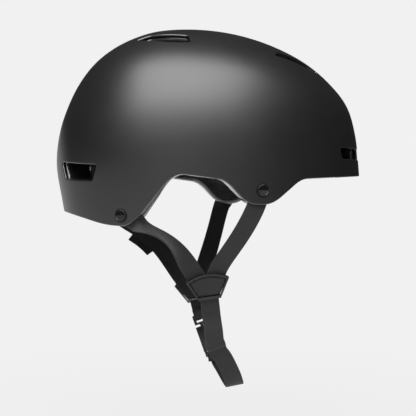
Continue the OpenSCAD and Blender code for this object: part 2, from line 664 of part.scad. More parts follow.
// Socket: a flat case open at the mouth and at both sides, with a bar for the webbing at its end
mouth_z = -10;
cavity_half = half_w - 1.8;
cavity_t = 5.2;
cavity_low = -29;
end_r = 1.8;
end_bar_z = mouth_z - socket_l + end_r;
end_slot_top = end_bar_z + 5.4;
module socket_block() {
    h = mouth_z - end_bar_z;
    translate([-half_w, 0, end_bar_z]) {
        translate([0, -socket_t / 2 + 1, 4]) cube([buckle_w, socket_t - 2, h - 4]);
        translate([1, -socket_t / 2, 5]) cube([buckle_w - 2, socket_t, h - 6.5]);
        translate([0, -end_r, 0]) cube([buckle_w, 2 * end_r, 5]);
    }
}
module buckle_socket() {
    color("#232325") at_buckle() {
        difference() {
            socket_block();
            translate([-cavity_half, -cavity_t / 2, cavity_low])
                cube([2 * cavity_half, cavity_t, mouth_z - cavity_low + 1]);
            translate([-half_w - 1, -cavity_t / 2, button_low - window_gap])
                cube([buckle_w + 2, cavity_t, button_top - button_low + 2 * window_gap]);
            translate([-slot_half, -socket_t, end_bar_z - 1])
                cube([2 * slot_half, 2 * socket_t, end_slot_top - end_bar_z + 1]);
        }
        translate([-half_w, 0, end_bar_z]) rotate([0, 90, 0]) cylinder(r = end_r, h = buckle_w);
    }
}

// Left web: from the divider down to the plug, round its bar and back up to where it is sewn
wrap_r = plug_t / 2 + 0.4 + web_t / 2;
wrap_z = -top_bar + plug_t / 2;
sewn_up = 7;
function loop_turn(z, r, a) = by_buckle([0, r * cos(a), z + r * sin(a)]);
BUCKLE_ACROSS = by_buckle([1, 0, 0]) - BUCKLE;
function divider_across(place, roll) = by_divider(place, roll, [1, 0, 0]) - place;
LEFT_ACROSS = divider_across(LEFT_DIVIDER, left_roll);
WEB_LEFT = concat(
    [for (z = [junction_z - 0.6, 0, -3.5, -7])
        [by_divider(LEFT_DIVIDER, left_roll, [0, -web_in, z]), LEFT_ACROSS]],
    [[mix(by_divider(LEFT_DIVIDER, left_roll, [0, -web_in, -7]), loop_turn(wrap_z, wrap_r, 0), 0.5),
      mix(LEFT_ACROSS, BUCKLE_ACROSS, 0.5)]],
    [for (a = [0:-22.5:-180]) [loop_turn(wrap_z, wrap_r, a), BUCKLE_ACROSS]],
    [[by_buckle([0, -wrap_r, sewn_up]), BUCKLE_ACROSS]]);
module web_left() color("#1d1d1f") ribbon(WEB_LEFT);

// Chin strap: straight down from the right divider, folded at a crease, round under the chin and
// up to the socket, over its bar and down again as a loose tail
RIGHT_ACROSS = flip(divider_across(RIGHT_DIVIDER, right_roll));
FLAT_ACROSS = [0.98, 0, 0.18];
FOLD_ACROSS = [0.94, -0.1, 0.32];
tail_end = -46.5;
end_wrap = end_r + 0.5 + web_t / 2;
STRAIGHT = [for (z = [junction_z - 0.6, -3, -12, -20])
    [flip(by_divider(RIGHT_DIVIDER, right_roll, [0, -web_in, z])), RIGHT_ACROSS]];
HANGING = [
    [[0.6, -39, -143], [0.97, 0, 0.22]],
    [[1.8, -38.4, -155], FOLD_ACROSS],
    [[3.4, -37.4, -159], FOLD_ACROSS],
    [[10.2, -31.5, -168], [0.92, -0.15, 0.3]],
    [[18.4, -22, -182], [0.95, -0.2, 0.25]],
    [[23.4, -11, -193], FLAT_ACROSS],
    [[25.2, 0, -197.2], FLAT_ACROSS],
    [[23.6, 10, -194.2], FLAT_ACROSS],
    [[19.6, 21, -185.6], [0.96, 0, 0.27]]
];
function end_turn(a) = loop_turn(end_bar_z, end_wrap, a);
UP_TO_BAR = [
    [by_buckle([0, end_wrap, end_bar_z - 8]), BUCKLE_ACROSS],
    [by_buckle([0, end_wrap, end_bar_z - 3]), BUCKLE_ACROSS],
    [end_turn(0), BUCKLE_ACROSS]
];
CHIN_STRAP = concat(
    spline(concat(STRAIGHT, HANGING, UP_TO_BAR), 3),
    [for (a = [30:30:180]) [end_turn(a), BUCKLE_ACROSS]],
    [[by_buckle([-1.5, -end_wrap, tail_end]), BUCKLE_ACROSS]]);
module chin_strap() color("#1d1d1f") ribbon(CHIN_STRAP);

shell();
liner();
pad_brow();
pad_crown();
pad_left();
pad_right();
pad_rear();
hook_patches();
rivet_caps();
rivet_washers();
strap_front_right();
strap_rear_right();
strap_front_left();
strap_rear_left();
strap_label();
divider_right();
divider_left();
web_left();
chin_strap();
buckle_plug();
prong_front();
prong_rear();
buckle_socket();
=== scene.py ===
# %% [markdown]
# # An open-face helmet for bikes and skating
# The object is a hard shell with a foam liner, five comfort pads and a harness of webbing that is
# buckled under the chin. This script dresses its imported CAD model: every piece below is made from
# the same measures as the model, so that it goes where the model says, with no fitting by eye.

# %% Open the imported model
import math

import bmesh
import bpy
import numpy as np
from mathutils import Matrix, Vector
from mathutils.geometry import delaunay_2d_cdt


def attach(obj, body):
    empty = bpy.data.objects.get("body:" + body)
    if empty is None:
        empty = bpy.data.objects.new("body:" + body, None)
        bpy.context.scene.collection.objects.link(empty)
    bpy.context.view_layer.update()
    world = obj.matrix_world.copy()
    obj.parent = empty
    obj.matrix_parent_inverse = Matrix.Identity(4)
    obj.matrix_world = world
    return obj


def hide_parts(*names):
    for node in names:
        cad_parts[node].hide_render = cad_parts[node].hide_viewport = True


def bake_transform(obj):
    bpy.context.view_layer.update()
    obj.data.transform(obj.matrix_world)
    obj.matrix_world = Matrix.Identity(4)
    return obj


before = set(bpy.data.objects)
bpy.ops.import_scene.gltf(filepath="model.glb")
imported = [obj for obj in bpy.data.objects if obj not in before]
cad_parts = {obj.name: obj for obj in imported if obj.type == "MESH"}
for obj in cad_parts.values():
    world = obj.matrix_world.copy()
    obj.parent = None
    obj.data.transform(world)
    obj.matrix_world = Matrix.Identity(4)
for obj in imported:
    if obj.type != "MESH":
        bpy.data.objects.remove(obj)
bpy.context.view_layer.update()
MM = 0.001

# %% [markdown]
# The camera comes first. The picture was taken nearly level and seven degrees round from the
# exact side, and its perspective is slight, as a long lens at 1.25 m gives it.

# %% Camera
CAMERA_DISTANCE = 1.25
CAMERA_AZIMUTH = math.radians(-7.0)
CAMERA_ELEVATION = math.radians(0.5)
VIEW_CENTRE = Vector((0, 0, -0.0297))
LENS, SENSOR_WIDTH = 114.7, 36


def in_scene(name, data):
    made = bpy.data.objects.new(name, data)
    bpy.context.scene.collection.objects.link(made)
    return made


def aimed(obj, where, aim):
    """Puts a camera or a lamp at a place and turns it towards another."""
    obj.location = where
    obj.rotation_mode = "QUATERNION"
    obj.rotation_quaternion = (Vector(aim) - Vector(where)).to_track_quat("-Z", "Y")
    return obj


away = Vector((
    math.sin(CAMERA_AZIMUTH) * math.cos(CAMERA_ELEVATION),
    -math.cos(CAMERA_AZIMUTH) * math.cos(CAMERA_ELEVATION),
    math.sin(CAMERA_ELEVATION)))
camera = in_scene("camera", bpy.data.cameras.new("camera"))
aimed(camera, VIEW_CENTRE + away * CAMERA_DISTANCE, VIEW_CENTRE)
camera.data.lens, camera.data.sensor_width = LENS, SENSOR_WIDTH
bpy.context.scene.camera = camera
bpy.context.scene.view_settings.view_transform = "Standard"
print("camera at", [round(v, 3) for v in camera.location])

# %% [markdown]
# Small helpers follow: a few for numbers and vectors, some that turn points and faces into an
# object, one that takes over a imported node's own form, and one that gives a finished piece its
# material and its body. Points are in millimetres until they become a mesh.


# %% Helpers for numbers and faces
def unit(v):
    v = np.asarray(v, float)
    return v / np.maximum(np.linalg.norm(v, axis=-1, keepdims=True), 1e-12)


def mix(a, b, f):
    return a + (b - a) * f


def smooth(f):
    c = np.clip(f, 0, 1)
    return c * c * (3 - 2 * c)


def strip_faces(rows, wide, closed=True):
    """Quads between rows of points that follow each other; closed joins the two ends of a row."""
    across = range(wide if closed else wide - 1)
    k, q = (a.ravel() for a in np.meshgrid(range(rows - 1), across, indexing="ij"))
    r = (q + 1) % wide
    return np.stack([k * wide + q, k * wide + r, (k + 1) * wide + r, (k + 1) * wide + q], 1)


def bridge_faces(low, high):
    """Quads between two closed loops of points."""
    return np.stack([low, np.roll(low, -1), np.roll(high, -1), high], 1).tolist()


print("faces of a closed strip with 2 rows of 3 points:", strip_faces(2, 3).tolist())


# %% Helpers for meshes
def put_mesh(name, points, faces, uv=None):
    """An object from points in millimetres; uv holds one pair for each corner of each face."""
    mesh = bpy.data.meshes.new(name)
    mesh.from_pydata((np.asarray(points, float) * MM).tolist(), [], [list(map(int, f)) for f in faces])
    if uv is not None:
        mesh.uv_layers.new(name="UVMap").data.foreach_set("uv", np.asarray(uv, np.float32).ravel())
    mesh.shade_smooth()
    mesh.update()
    return in_scene(name, mesh)


def read_points(mesh, what="vertices", key="co"):
    values = np.empty(len(mesh.vertices) * 3, np.float32)
    getattr(mesh, what).foreach_get(key, values)
    return values.reshape(-1, 3)


def write_points(mesh, points):
    mesh.vertices.foreach_set("co", np.asarray(points, np.float32).ravel())
    mesh.update()


def finished(obj):
    """Applies an object's modifiers, so that a plain mesh is left."""
    graph = bpy.context.evaluated_depsgraph_get()
    graph.update()
    mesh, old = bpy.data.meshes.new_from_object(obj.evaluated_get(graph)), obj.data
    obj.modifiers.clear()
    obj.data = mesh
    bpy.data.meshes.remove(old)
    mesh.shade_smooth()
    return obj


def faced_outward(obj):
    """Turns all faces outwards, and counts the edges that don't have two faces."""
    work = bmesh.new()
    work.from_mesh(obj.data)
    bmesh.ops.recalc_face_normals(work, faces=work.faces)
    open_edges = sum(len(e.link_faces) != 2 for e in work.edges)
    print(f"{obj.name}: {len(work.verts)} points, open or doubled edges {open_edges}")
    work.to_mesh(obj.data)
    work.free()
    obj.data.shade_smooth()
    return obj


def node_form(node, name):
    """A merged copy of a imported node's mesh, with its flat faces whole again."""
    work = bmesh.new()
    work.from_mesh(bpy.data.objects[node].data)
    bmesh.ops.remove_doubles(work, verts=work.verts, dist=2e-6)
    bmesh.ops.dissolve_limit(work, angle_limit=math.radians(1.5), verts=work.verts, edges=work.edges)
    mesh = bpy.data.meshes.new(name)
    work.to_mesh(mesh)
    work.free()
    return in_scene(name, mesh)


def rounded_edges(obj, width, segments=3):
    bevel = obj.modifiers.new("rounded edges", "BEVEL")
    bevel.width, bevel.segments = width * MM, segments
    bevel.limit_method, bevel.angle_limit = "ANGLE", math.radians(30)
    return finished(obj)


def dress(obj, material, bodies, node=None):
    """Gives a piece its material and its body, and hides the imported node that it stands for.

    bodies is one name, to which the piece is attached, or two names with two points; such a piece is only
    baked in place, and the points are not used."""
    obj.data.materials.clear()
    obj.data.materials.append(material)
    if isinstance(bodies, str):
        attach(obj, bodies)
    else:
        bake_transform(obj)
    if node:
        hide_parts(node)
    obj.data.calc_loop_triangles()
    moves_with = bodies if isinstance(bodies, str) else bodies[:2]
    print(f"{obj.name}: {len(obj.data.loop_triangles)} triangles, body {moves_with}")
    return obj

# %% [markdown]
# The whole helmet follows one dome. Its level rings are superellipses that reach forward, back and
# sideways by three tables, drawn from the photograph's outline for the length and from a head's
# proportions for the width. The lower edge is a line seen from the side, with rounded corners.

# %% The dome
SHELL_FRONT, SHELL_REAR, SHELL_HALF = 143.2, 142.1, 108.0
CROWN_H, CROWN_X, SKIRT_Z = 137.2, -20.0, -61.0
MID_X, MID_LEVEL, SQUARENESS = -2.0, 0.7, 0.35
DROP = CROWN_H - SKIRT_Z
FRONT_SHARE = [0, 0.186, 0.359, 0.526, 0.683, 0.814, 0.919, 0.967, 0.987, 0.999, 1]
REAR_SHARE = [0, 0.224, 0.391, 0.555, 0.699, 0.814, 0.905, 0.973, 0.996, 0.953, 0.897]
SIDE_SHARE = [0, 0.204, 0.398, 0.574, 0.731, 0.856, 0.944, 0.991, 1, 0.981, 0.935]


def share(table, s):
    """Smooth reading of a table at level s."""
    t = np.asarray(table, float)
    n = len(t) - 1
    slope = np.empty(n + 1)
    slope[1:-1] = (t[2:] - t[:-2]) / 2
    slope[0], slope[-1] = t[1] - t[0], t[-1] - t[-2]
    k = np.clip(np.floor(s * n).astype(int), 0, n - 1)
    f = s * n - k
    a, b, ma, mb = t[k], t[k + 1], slope[k], slope[k + 1]
    return a + f * (ma + f * (3 * (b - a) - 2 * ma - mb + f * (2 * (a - b) + ma + mb)))


def ring(s):
    """Centre, reach forward, reach back, half width and squareness of the ring at level s."""
    c = mix(CROWN_X, MID_X, np.minimum(1, s / MID_LEVEL))
    ahead = CROWN_X + (SHELL_FRONT - CROWN_X) * share(FRONT_SHARE, s) - c
    back = c - CROWN_X + (SHELL_REAR + CROWN_X) * share(REAR_SHARE, s)
    return c, ahead, back, SHELL_HALF * share(SIDE_SHARE, s), 2 + SQUARENESS * s


def dome(u, s):
    """Point of the dome at azimuth u, in degrees from the front, and level s."""
    c, ahead, back, side, n = ring(s)
    cu, su = np.cos(np.radians(u)), np.sin(np.radians(u))
    a = np.where(cu >= 0, ahead, back)
    r = ((np.abs(cu) / a) ** n + (np.abs(su) / side) ** n) ** (-1 / n)
    return np.stack([c + r * cu, r * su, CROWN_H - DROP * s * s + 0 * u], -1)


def dome_normal(u, s):
    du, ds = 0.5, 0.004
    s = np.maximum(s, 1.5 * ds)
    return unit(np.cross(dome(u, s + ds) - dome(u, s - ds), dome(u + du, s) - dome(u - du, s)))


def level(z):
    return np.sqrt(np.maximum(CROWN_H - z, 0) / DROP)


top = dome(np.arange(0, 360, 5.0), np.full(72, MID_LEVEL))
print("ring at level", MID_LEVEL, "runs from x", round(float(top[:, 0].min()), 1), "to",
      round(float(top[:, 0].max()), 1))

# %% [markdown]
# The lower edge is cut through the dome by a line in the side view: straight runs for the front
# edge, the ear notch between the two lobes and the rear edge, with rounded corners between them.
# Halving an interval over and over finds the level at which each azimuth of the dome meets it.

# %% The lower edge and the depths of the walls
EDGE = [
    (-150, -28, 0), (-100, -44.2, 10), (-78.5, -45, 9), (-43, 1.4, 10), (1.8, -4.4, 7),
    (22, -26, 8), (44.3, -26, 8), (71, -3.6, 6), (150, 0.6, 0)]
SHELL_T, LINER_GAP = 2.6, 0.3
LINER_SIDE, LINER_ENDS, LINER_EDGE_SHARE = 26.0, 34.0, 0.68


def edge_z(x):
    """Height of the lower edge; each corner of EDGE holds a place, a height and a rounding."""
    slopes = [(b[1] - a[1]) / (b[0] - a[0]) for a, b in zip(EDGE, EDGE[1:])]
    z = EDGE[0][1] + slopes[0] * (x - EDGE[0][0])
    for k in range(1, len(EDGE) - 1):
        t, r = x - EDGE[k][0], EDGE[k][2]
        bend = np.where(t <= -r, 0, np.where(t >= r, t, (t + r) ** 2 / (4 * r)))
        z = z + (slopes[k] - slopes[k - 1]) * bend
    return z


EDGE_U = np.arange(0, 360.01, 0.25)
low_level, high_level = np.full(EDGE_U.shape, 0.6), np.ones(EDGE_U.shape)
for _ in range(24):
    EDGE_S = (low_level + high_level) / 2
    p = dome(EDGE_U, EDGE_S)
    above = p[:, 2] > edge_z(p[:, 0])
    low_level, high_level = np.where(above, EDGE_S, low_level), np.where(above, high_level, EDGE_S)


def edge_level(u):
    return np.interp(np.mod(u, 360), EDGE_U, EDGE_S)


def inner_point(u, s, v, depth):
    """Point at a depth under the dome; near the lower edge, at v of 1, the depth runs level."""
    n = dome_normal(u, s)
    n = n * np.stack([np.ones_like(v), np.ones_like(v), 1 - smooth((v - 0.7) / 0.3)], -1)
    return dome(u, s) - np.asarray(depth)[..., None] * unit(n)


def liner_depth(u, v):
    """Depth of the liner's inner face: thick at the crown, the brow and the nape."""
    ends = np.cos(np.radians(u)) ** 2
    body = mix(LINER_SIDE, LINER_ENDS, np.maximum(ends, smooth(1.6 - 3 * v)))
    return SHELL_T + LINER_GAP + body * mix(1, LINER_EDGE_SHARE, smooth((v - 0.6) / 0.4))


def even_depth(depth):
    return lambda u, v: 0 * u + depth


rim = dome(EDGE_U, EDGE_S)
print("edge runs from z", round(float(rim[:, 2].min()), 1), "to", round(float(rim[:, 2].max()), 1))

# %% [markdown]
# Vents and rivet holes are cut before the shell becomes a mesh. Each is an outline in a plane that
# touches the dome, and the mesh gets lines of points that run parallel to the outline, set a little
# deeper as they come closer to it. So every lip has a real, even rounding, which a boolean cut on
# a dense mesh can't give.


# %% Points of the dome by their place
def wall_w(x, z):
    c, ahead, back, side, n = ring(level(z))
    a = np.where(x >= c, ahead, back)
    return side * np.maximum(0, 1 - (np.abs(x - c) / a) ** n) ** (1 / n)


def wall_normal(x, z):
    e = 0.5
    return unit(np.array([wall_w(x - e, z) - wall_w(x + e, z), 2 * e, wall_w(x, z - e) - wall_w(x, z + e)]))


def wall_point(x, z, depth):
    return np.array([x, wall_w(x, z), z]) - depth * wall_normal(x, z)


def roof_point(x, y):
    low, high = 0.01, 1.0
    for _ in range(30):
        m = (low + high) / 2
        c, ahead, back, side, n = ring(np.array(m))
        outside = (abs(x - c) / (ahead if x >= c else back)) ** n + (abs(y) / side) ** n > 1
        low, high = (m, high) if outside else (low, m)
    return [x, y, CROWN_H - DROP * m * m]


def brow_point(y, z):
    c, ahead, back, side, n = ring(level(z))
    return [c + ahead * (1 - (y / side) ** n) ** (1 / n), y, z]


print("half width above the ears:", round(float(wall_w(0, 0)), 1))


# %% Outlines
def rounded_outline(p, r, spacing=1.5):
    """A closed outline with its corners rounded, as evenly spaced points."""
    p, out = np.asarray(p, float), []
    for k in range(len(p)):
        b, a, c = p[k], p[k - 1], p[(k + 1) % len(p)]
        start = b + unit(a - b) * min(r, np.linalg.norm(a - b) / 2)
        stop = b + unit(c - b) * min(r, np.linalg.norm(c - b) / 2)
        for f in np.linspace(0, 1, 9):
            out.append(mix(mix(start, b, f), mix(b, stop, f), f))
    out = np.array(out + [out[0]])
    run = np.concatenate([[0], np.cumsum(np.linalg.norm(np.diff(out, axis=0), axis=1))])
    t = np.linspace(0, run[-1], max(12, int(run[-1] / spacing)), endpoint=False)
    return np.stack([np.interp(t, run, out[:, k]) for k in (0, 1)], 1)


def widened(outline, d):
    """The outline moved out by d."""
    ahead, behind = np.roll(outline, -1, 0) - outline, outline - np.roll(outline, 1, 0)
    turn = unit(unit(ahead) + unit(behind))
    area = np.sum(outline[:, 0] * np.roll(outline[:, 1], -1) - np.roll(outline[:, 0], -1) * outline[:, 1])
    side = np.stack([turn[:, 1], -turn[:, 0]], 1) * (1 if area > 0 else -1)
    widen = 1 / np.maximum(0.6, np.sum(unit(ahead) * turn, 1))
    return outline + side * d * widen[:, None]


class Opening:
    """A vent or hole: its plane on the dome and its outline in that plane."""

    def __init__(self, centre, normal, outline=None):
        self.centre, self.outline = centre, outline
        self.ex = unit(np.cross([0, 0, 1], normal))
        self.ey = np.cross(normal, self.ex)

    def flat(self, points):
        d = points - self.centre
        return np.stack([d @ self.ex, d @ self.ey], -1)


print("points on a rounded square of 10 mm:",
      len(rounded_outline([(0, 0), (10, 0), (10, 10), (0, 10)], 2)))

# %% [markdown]
# Four vents lie on each side: one in the brow, a long one ahead of the crown and one behind it, and
# a low one at the rear. Each is drawn by corners, and the other side's are the same, flipped. Two
# rivets on each side hold the straps.


# %% Vents and rivet holes
VENT_CORNER = 2.2
BROW_TOP, BROW_H, BRIDGE = 25.0, 10.0, 36.0
VENT_POINTS = {
    "rear": [[x, float(wall_w(x, z)), z] for x, z in ((-137, 12.4), (-108, 9), (-111.5, -5), (-134, -2.6))],
    "crown": [roof_point(x, y) for x, y in (
        (-70, 32), (-63, 40.5), (-56.5, 47), (-46, 55), (-35, 59.8), (-22.8, 61.6), (-24.2, 48.5),
        (-40, 41), (-58, 31))],
    "fore": [roof_point(x, y) for x, y in (
        (54, 59), (64, 55.4), (75, 51.2), (86, 46.8), (96, 41), (98, 29), (77, 38), (58, 47.5))],
    "brow": [brow_point(y, BROW_TOP - h) for y, h in (
        (BRIDGE / 2, 0), (45, 0), (72, 0), (71, BROW_H), (45, BROW_H), (BRIDGE / 2, BROW_H))],
}
FRONT_RIVET, REAR_RIVET = (35.7, -13.6), (-87.3, -35.4)
SHANK_D, HEAD_D, HOLE_GAP = 4.4, 10.8, 0.25
FLIP = np.array([1, -1, 1])
BOTH_SIDES = np.ones(3), FLIP
VENTS, RIVET_PLACES, RIVET_HOLES = [], [], []
for corners in VENT_POINTS.values():
    corners = np.array(corners, float)
    c = corners.mean(0)
    normal = dome_normal(np.degrees(np.arctan2(c[1], c[0] - ring(level(c[2]))[0])), level(c[2]))
    for flip in BOTH_SIDES:
        vent = Opening(c * flip, normal * flip)
        vent.outline = rounded_outline(vent.flat(corners * flip), VENT_CORNER)
        VENTS.append(vent)

turn = np.linspace(0, 2 * np.pi, 28, endpoint=False)
circle = np.stack([np.cos(turn), np.sin(turn)], 1) * (SHANK_D / 2 + HOLE_GAP)
for x, z in (FRONT_RIVET, REAR_RIVET):
    for flip in BOTH_SIDES:
        RIVET_PLACES.append((wall_point(x, z, 0) * flip, wall_normal(x, z) * flip))
        RIVET_HOLES.append(Opening(*RIVET_PLACES[-1], circle))
print("vents:", len(VENTS), "rivet holes:", len(RIVET_HOLES))

# %% [markdown]
# A wall is made of two skins of triangles, each over the whole dome. The skin's points lie in
# even rings, then in lines beside each opening and beside the lower edge, and a Delaunay
# triangulation in a flattened plan joins them. The two skins are then sewn together along the
# edge and through each opening.


# %% Lines of points on a skin
PLAN, CROWN_TO_EDGE, EDGE_SHIFT = 220.0, 225, 11
FLAT_BAND = 0.7, 1.6


def in_plan(u, v):
    """Where azimuth u and share v of the way to the edge lie in the flattened plan."""
    return np.stack([v * np.cos(np.radians(u)), v * np.sin(np.radians(u))], 1) * PLAN


def lip(radius, sink=1):
    """Steps of (distance from the opening, extra depth) for a rounded lip, with flat lines beyond."""
    steps = [(radius * (1 - math.cos(a)), radius * (1 - math.sin(a)) * sink)
             for a in np.radians((0, 22, 45, 67, 90))]
    return steps + [(radius + band, 0) for band in FLAT_BAND]


def solve_on_skin(opening, flat, depth_of):
    """Azimuth and level where a skin passes through given points of an opening's plane."""
    start = opening.centre + flat[:, :1] * opening.ex + flat[:, 1:] * opening.ey
    s = np.clip(level(np.minimum(start[:, 2], CROWN_H - 0.4)), 0.02, 1)
    u = np.degrees(np.arctan2(start[:, 1], start[:, 0] - ring(s)[0]))

    def place_of(u, s):
        v = s / edge_level(u)
        return opening.flat(inner_point(u, s, v, depth_of(u, v)))

    du, ds = 0.05, 0.0005
    for _ in range(14):
        miss = place_of(u, s) - flat
        ju = (place_of(u + du, s) - flat - miss) / du
        js = (place_of(u, s + ds) - flat - miss) / ds
        det = ju[:, 0] * js[:, 1] - ju[:, 1] * js[:, 0]
        turn = (miss[:, 0] * js[:, 1] - miss[:, 1] * js[:, 0]) / det
        drop = (ju[:, 0] * miss[:, 1] - ju[:, 1] * miss[:, 0]) / det
        u, s = u - np.clip(turn, -8, 8), np.clip(s - np.clip(drop, -0.08, 0.08), 0.01, 1.02)
    return u, s


class SkinPoints:
    """The points of a skin so far, and the closed chains of them that triangles may not cross."""

    def __init__(self):
        self.parts, self.count, self.chains = [], 0, []

    def add(self, u, v, extra, chained=True):
        ids = np.arange(self.count, self.count + len(u))
        self.parts.append(np.stack([np.mod(u, 360), v, extra + 0 * u]))
        self.count += len(u)
        if chained:
            self.chains.append(ids)
        return ids


def add_edge_lines(points, depth_of, steps, sign, count):
    """Lines along the lower edge; gives their azimuths and how many millimetres one share is there."""
    t = np.arange(count) * 360 / count
    around = t + EDGE_SHIFT * np.sin(np.radians(2 * t))
    at_edge, near = np.ones(count), 0.99
    p = inner_point(around, edge_level(around), at_edge, depth_of(around, at_edge))
    q = inner_point(around, edge_level(around) * near, at_edge * near, depth_of(around, at_edge * near))
    along = unit(np.roll(p, -1, 0) - np.roll(p, 1, 0))
    across = (q - p) - along * np.sum((q - p) * along, 1, keepdims=True)
    per_share = np.linalg.norm(across, axis=1) / (1 - near)
    for away_from_edge, extra in steps:
        points.add(around, 1 - away_from_edge / per_share, extra * sign)
    return around, per_share


def even_rings(spacing):
    """Azimuths and shares of evenly spaced points over the whole dome."""
    rings_u, rings_v = [np.zeros(1)], [np.full(1, 1e-4)]
    count, tens = int(CROWN_TO_EDGE / spacing), np.arange(0, 360, 10.0)
    for j in range(1, count + 1):
        v = j / count
        reach = dome(tens, edge_level(tens) * v)[:, :2] - [CROWN_X, 0]
        n = max(6, int(2 * math.pi * float(np.mean(np.linalg.norm(reach, axis=1))) / spacing))
        rings_u.append((np.arange(n) + 0.5 * (j % 2)) * 360 / n)
        rings_v.append(np.full(n, v))
    return np.concatenate(rings_u), np.concatenate(rings_v)


print("steps of a lip of 1 mm:", [(round(a, 2), round(b, 2)) for a, b in lip(1)])


# %% A skin and a wall
def inside(loop, points):
    """Which points of the plan lie inside a closed loop."""
    a, b = loop[:, None], np.roll(loop, -1, 0)[:, None]
    x, y = points.T
    cross = (a[..., 1] > y) != (b[..., 1] > y)
    at = (b[..., 0] - a[..., 0]) * (y - a[..., 1]) / (b[..., 1] - a[..., 1] + 1e-30) + a[..., 0]
    return np.sum(cross & (x < at), 0) % 2 == 1


def triangulated(plan, chains, holes):
    """Delaunay triangles that keep the chains as edges, without those inside the holes."""
    edges = [(int(a), int(b)) for ids in chains for a, b in zip(ids, np.roll(ids, -1))]
    cut = delaunay_2d_cdt([Vector(p) for p in plan], edges, [], 0, 1e-7, True)
    origin = np.array([o[0] if o else -1 for o in cut[3]])
    triangles = origin[np.array([list(f) for f in cut[2]])]
    triangles = triangles[(triangles >= 0).all(1)]
    for ids in holes:
        member = np.nonzero(np.isin(triangles, ids).all(1))[0]
        triangles = np.delete(triangles, member[inside(plan[ids], plan[triangles[member]].mean(1))], 0)
    a, b, c = (plan[triangles[:, k]] for k in range(3))
    area = (b - a)[:, 0] * (c - a)[:, 1] - (b - a)[:, 1] * (c - a)[:, 0]
    return np.where((area > 0)[:, None], triangles, triangles[:, ::-1])


def skin(depth_of, openings, edge_radius, spacing, sign=1, edge_count=360):
    """A skin at a depth. sign is 1 where the lips sink inwards and -1 where they sink outwards.

    Gives the points, the triangles, the loops to sew along and how much of a lip each point is."""
    points, holes, keep_out = SkinPoints(), [], []
    around, per_share = add_edge_lines(points, depth_of, lip(edge_radius), sign, edge_count)
    for opening, steps in openings:
        first = len(points.chains)
        for out, extra in steps:
            flat = widened(opening.outline, out) if out else opening.outline
            u, s = solve_on_skin(opening, flat, depth_of)
            points.add(u, s / edge_level(u), extra * sign)
        holes.append(points.chains[first])
        keep_out.append(in_plan(*points.parts[-1][:2]))

    u, v = even_rings(spacing)
    last = 1 - (edge_radius + FLAT_BAND[-1] + spacing / 2) / per_share
    keep = v < np.interp(u, np.append(around, around[0] + 360), np.append(last, last[0]))
    for loop in keep_out:
        apart = np.linalg.norm(loop[:, None] - in_plan(u, v), axis=2).min(0)
        keep &= ~inside(loop, in_plan(u, v)) & (apart >= spacing * 0.55)
    points.add(u[keep], v[keep], 0, chained=False)

    u, v, extra = np.concatenate(points.parts, 1)
    placed = inner_point(u, v * edge_level(u), v, depth_of(u, v) + extra)
    triangles = triangulated(in_plan(u, v), points.chains, holes)
    return placed, triangles, points.chains[:1] + holes, np.clip(np.abs(extra) / 0.3, 0, 1)


def wall(name, outer, inner, steps=1):
    """Sews an outer and an inner skin into one closed wall, with more rows of points in between.

    The attribute lip is 1 on the roundings and between the skins, and 0 on the skins themselves."""
    stack, base = np.concatenate([outer[0], inner[0]]), len(outer[0])
    faces = outer[1].tolist() + (inner[1][:, ::-1] + base).tolist()
    for k, (a, b) in enumerate(zip(outer[2], inner[2])):
        count = steps if k else max(1, steps // 2)
        rows = [a]
        for q in range(1, count):
            rows.append(np.arange(len(stack), len(stack) + len(a)))
            stack = np.concatenate([stack, mix(stack[a], stack[b + base], q / count)])
        for low, high in zip(rows, rows[1:] + [b + base]):
            faces += bridge_faces(low, high)
    made = put_mesh(name, stack, faces)
    between = np.ones(len(stack) - base - len(inner[0]))
    on_lip = made.data.attributes.new("lip", "FLOAT", "POINT")
    on_lip.data.foreach_set("value", np.concatenate([outer[3], inner[3], between]))
    return faced_outward(made)


print("even rings 5 mm apart hold", len(even_rings(5.0)[0]), "points")

# %% [markdown]
# The materials are built from a few shader groups that several of them share: a fine moulded grain,
# a soft unevenness that breaks up the gloss as handling does, the weave of webbing, and the beads
# of moulded foam. Each group puts out a height or a mask that changes over the surface.


# %% Helpers for node trees, and the grain
def feed(tree, socket, value):
    """Links a socket to another one, or sets its value."""
    if isinstance(value, bpy.types.NodeSocket):
        tree.links.new(value, socket)
    else:
        socket.default_value = value


def add(tree, kind, links=None, **settings):
    """A node with its settings; links maps an input to a socket or a value."""
    node = tree.nodes.new(kind)
    for key, value in settings.items():
        setattr(node, key, value)
    for key, value in (links or {}).items():
        feed(tree, node.inputs[key], value)
    return node


def calc(tree, operation, *values, clamp=False):
    node = add(tree, "ShaderNodeMath", dict(enumerate(values)), operation=operation, use_clamp=clamp)
    return node.outputs[0]


def blended(tree, factor, a, b):
    return add(tree, "ShaderNodeMix", {0: factor, 2: a, 3: b}, data_type="FLOAT").outputs[0]


def new_group(name, inputs, outputs):
    """A shader group. An input without a value is a vector, and all the others are numbers."""
    tree = bpy.data.node_groups.new(name, "ShaderNodeTree")
    for label, value in inputs.items():
        kind = "NodeSocketVector" if value is None else "NodeSocketFloat"
        socket = tree.interface.new_socket(label, in_out="INPUT", socket_type=kind)
        if value is not None:
            socket.default_value = value
    for label in outputs:
        tree.interface.new_socket(label, in_out="OUTPUT", socket_type="NodeSocketFloat")
    return tree, tree.nodes.new("NodeGroupInput").outputs, tree.nodes.new("NodeGroupOutput").inputs


GRAIN, given, wanted = new_group("moulded grain", {"Vector": None, "Size": 1400.0}, ["Height"])
where = {"Vector": given["Vector"], "Scale": given["Size"]}
fine = add(GRAIN, "ShaderNodeTexNoise", {**where, "Detail": 3.0, "Roughness": 0.6})
cells = add(GRAIN, "ShaderNodeTexVoronoi", where)
feed(GRAIN, wanted["Height"], blended(GRAIN, 0.45, fine.outputs[0], cells.outputs["Distance"]))
print("nodes of the moulded grain:", len(GRAIN.nodes))

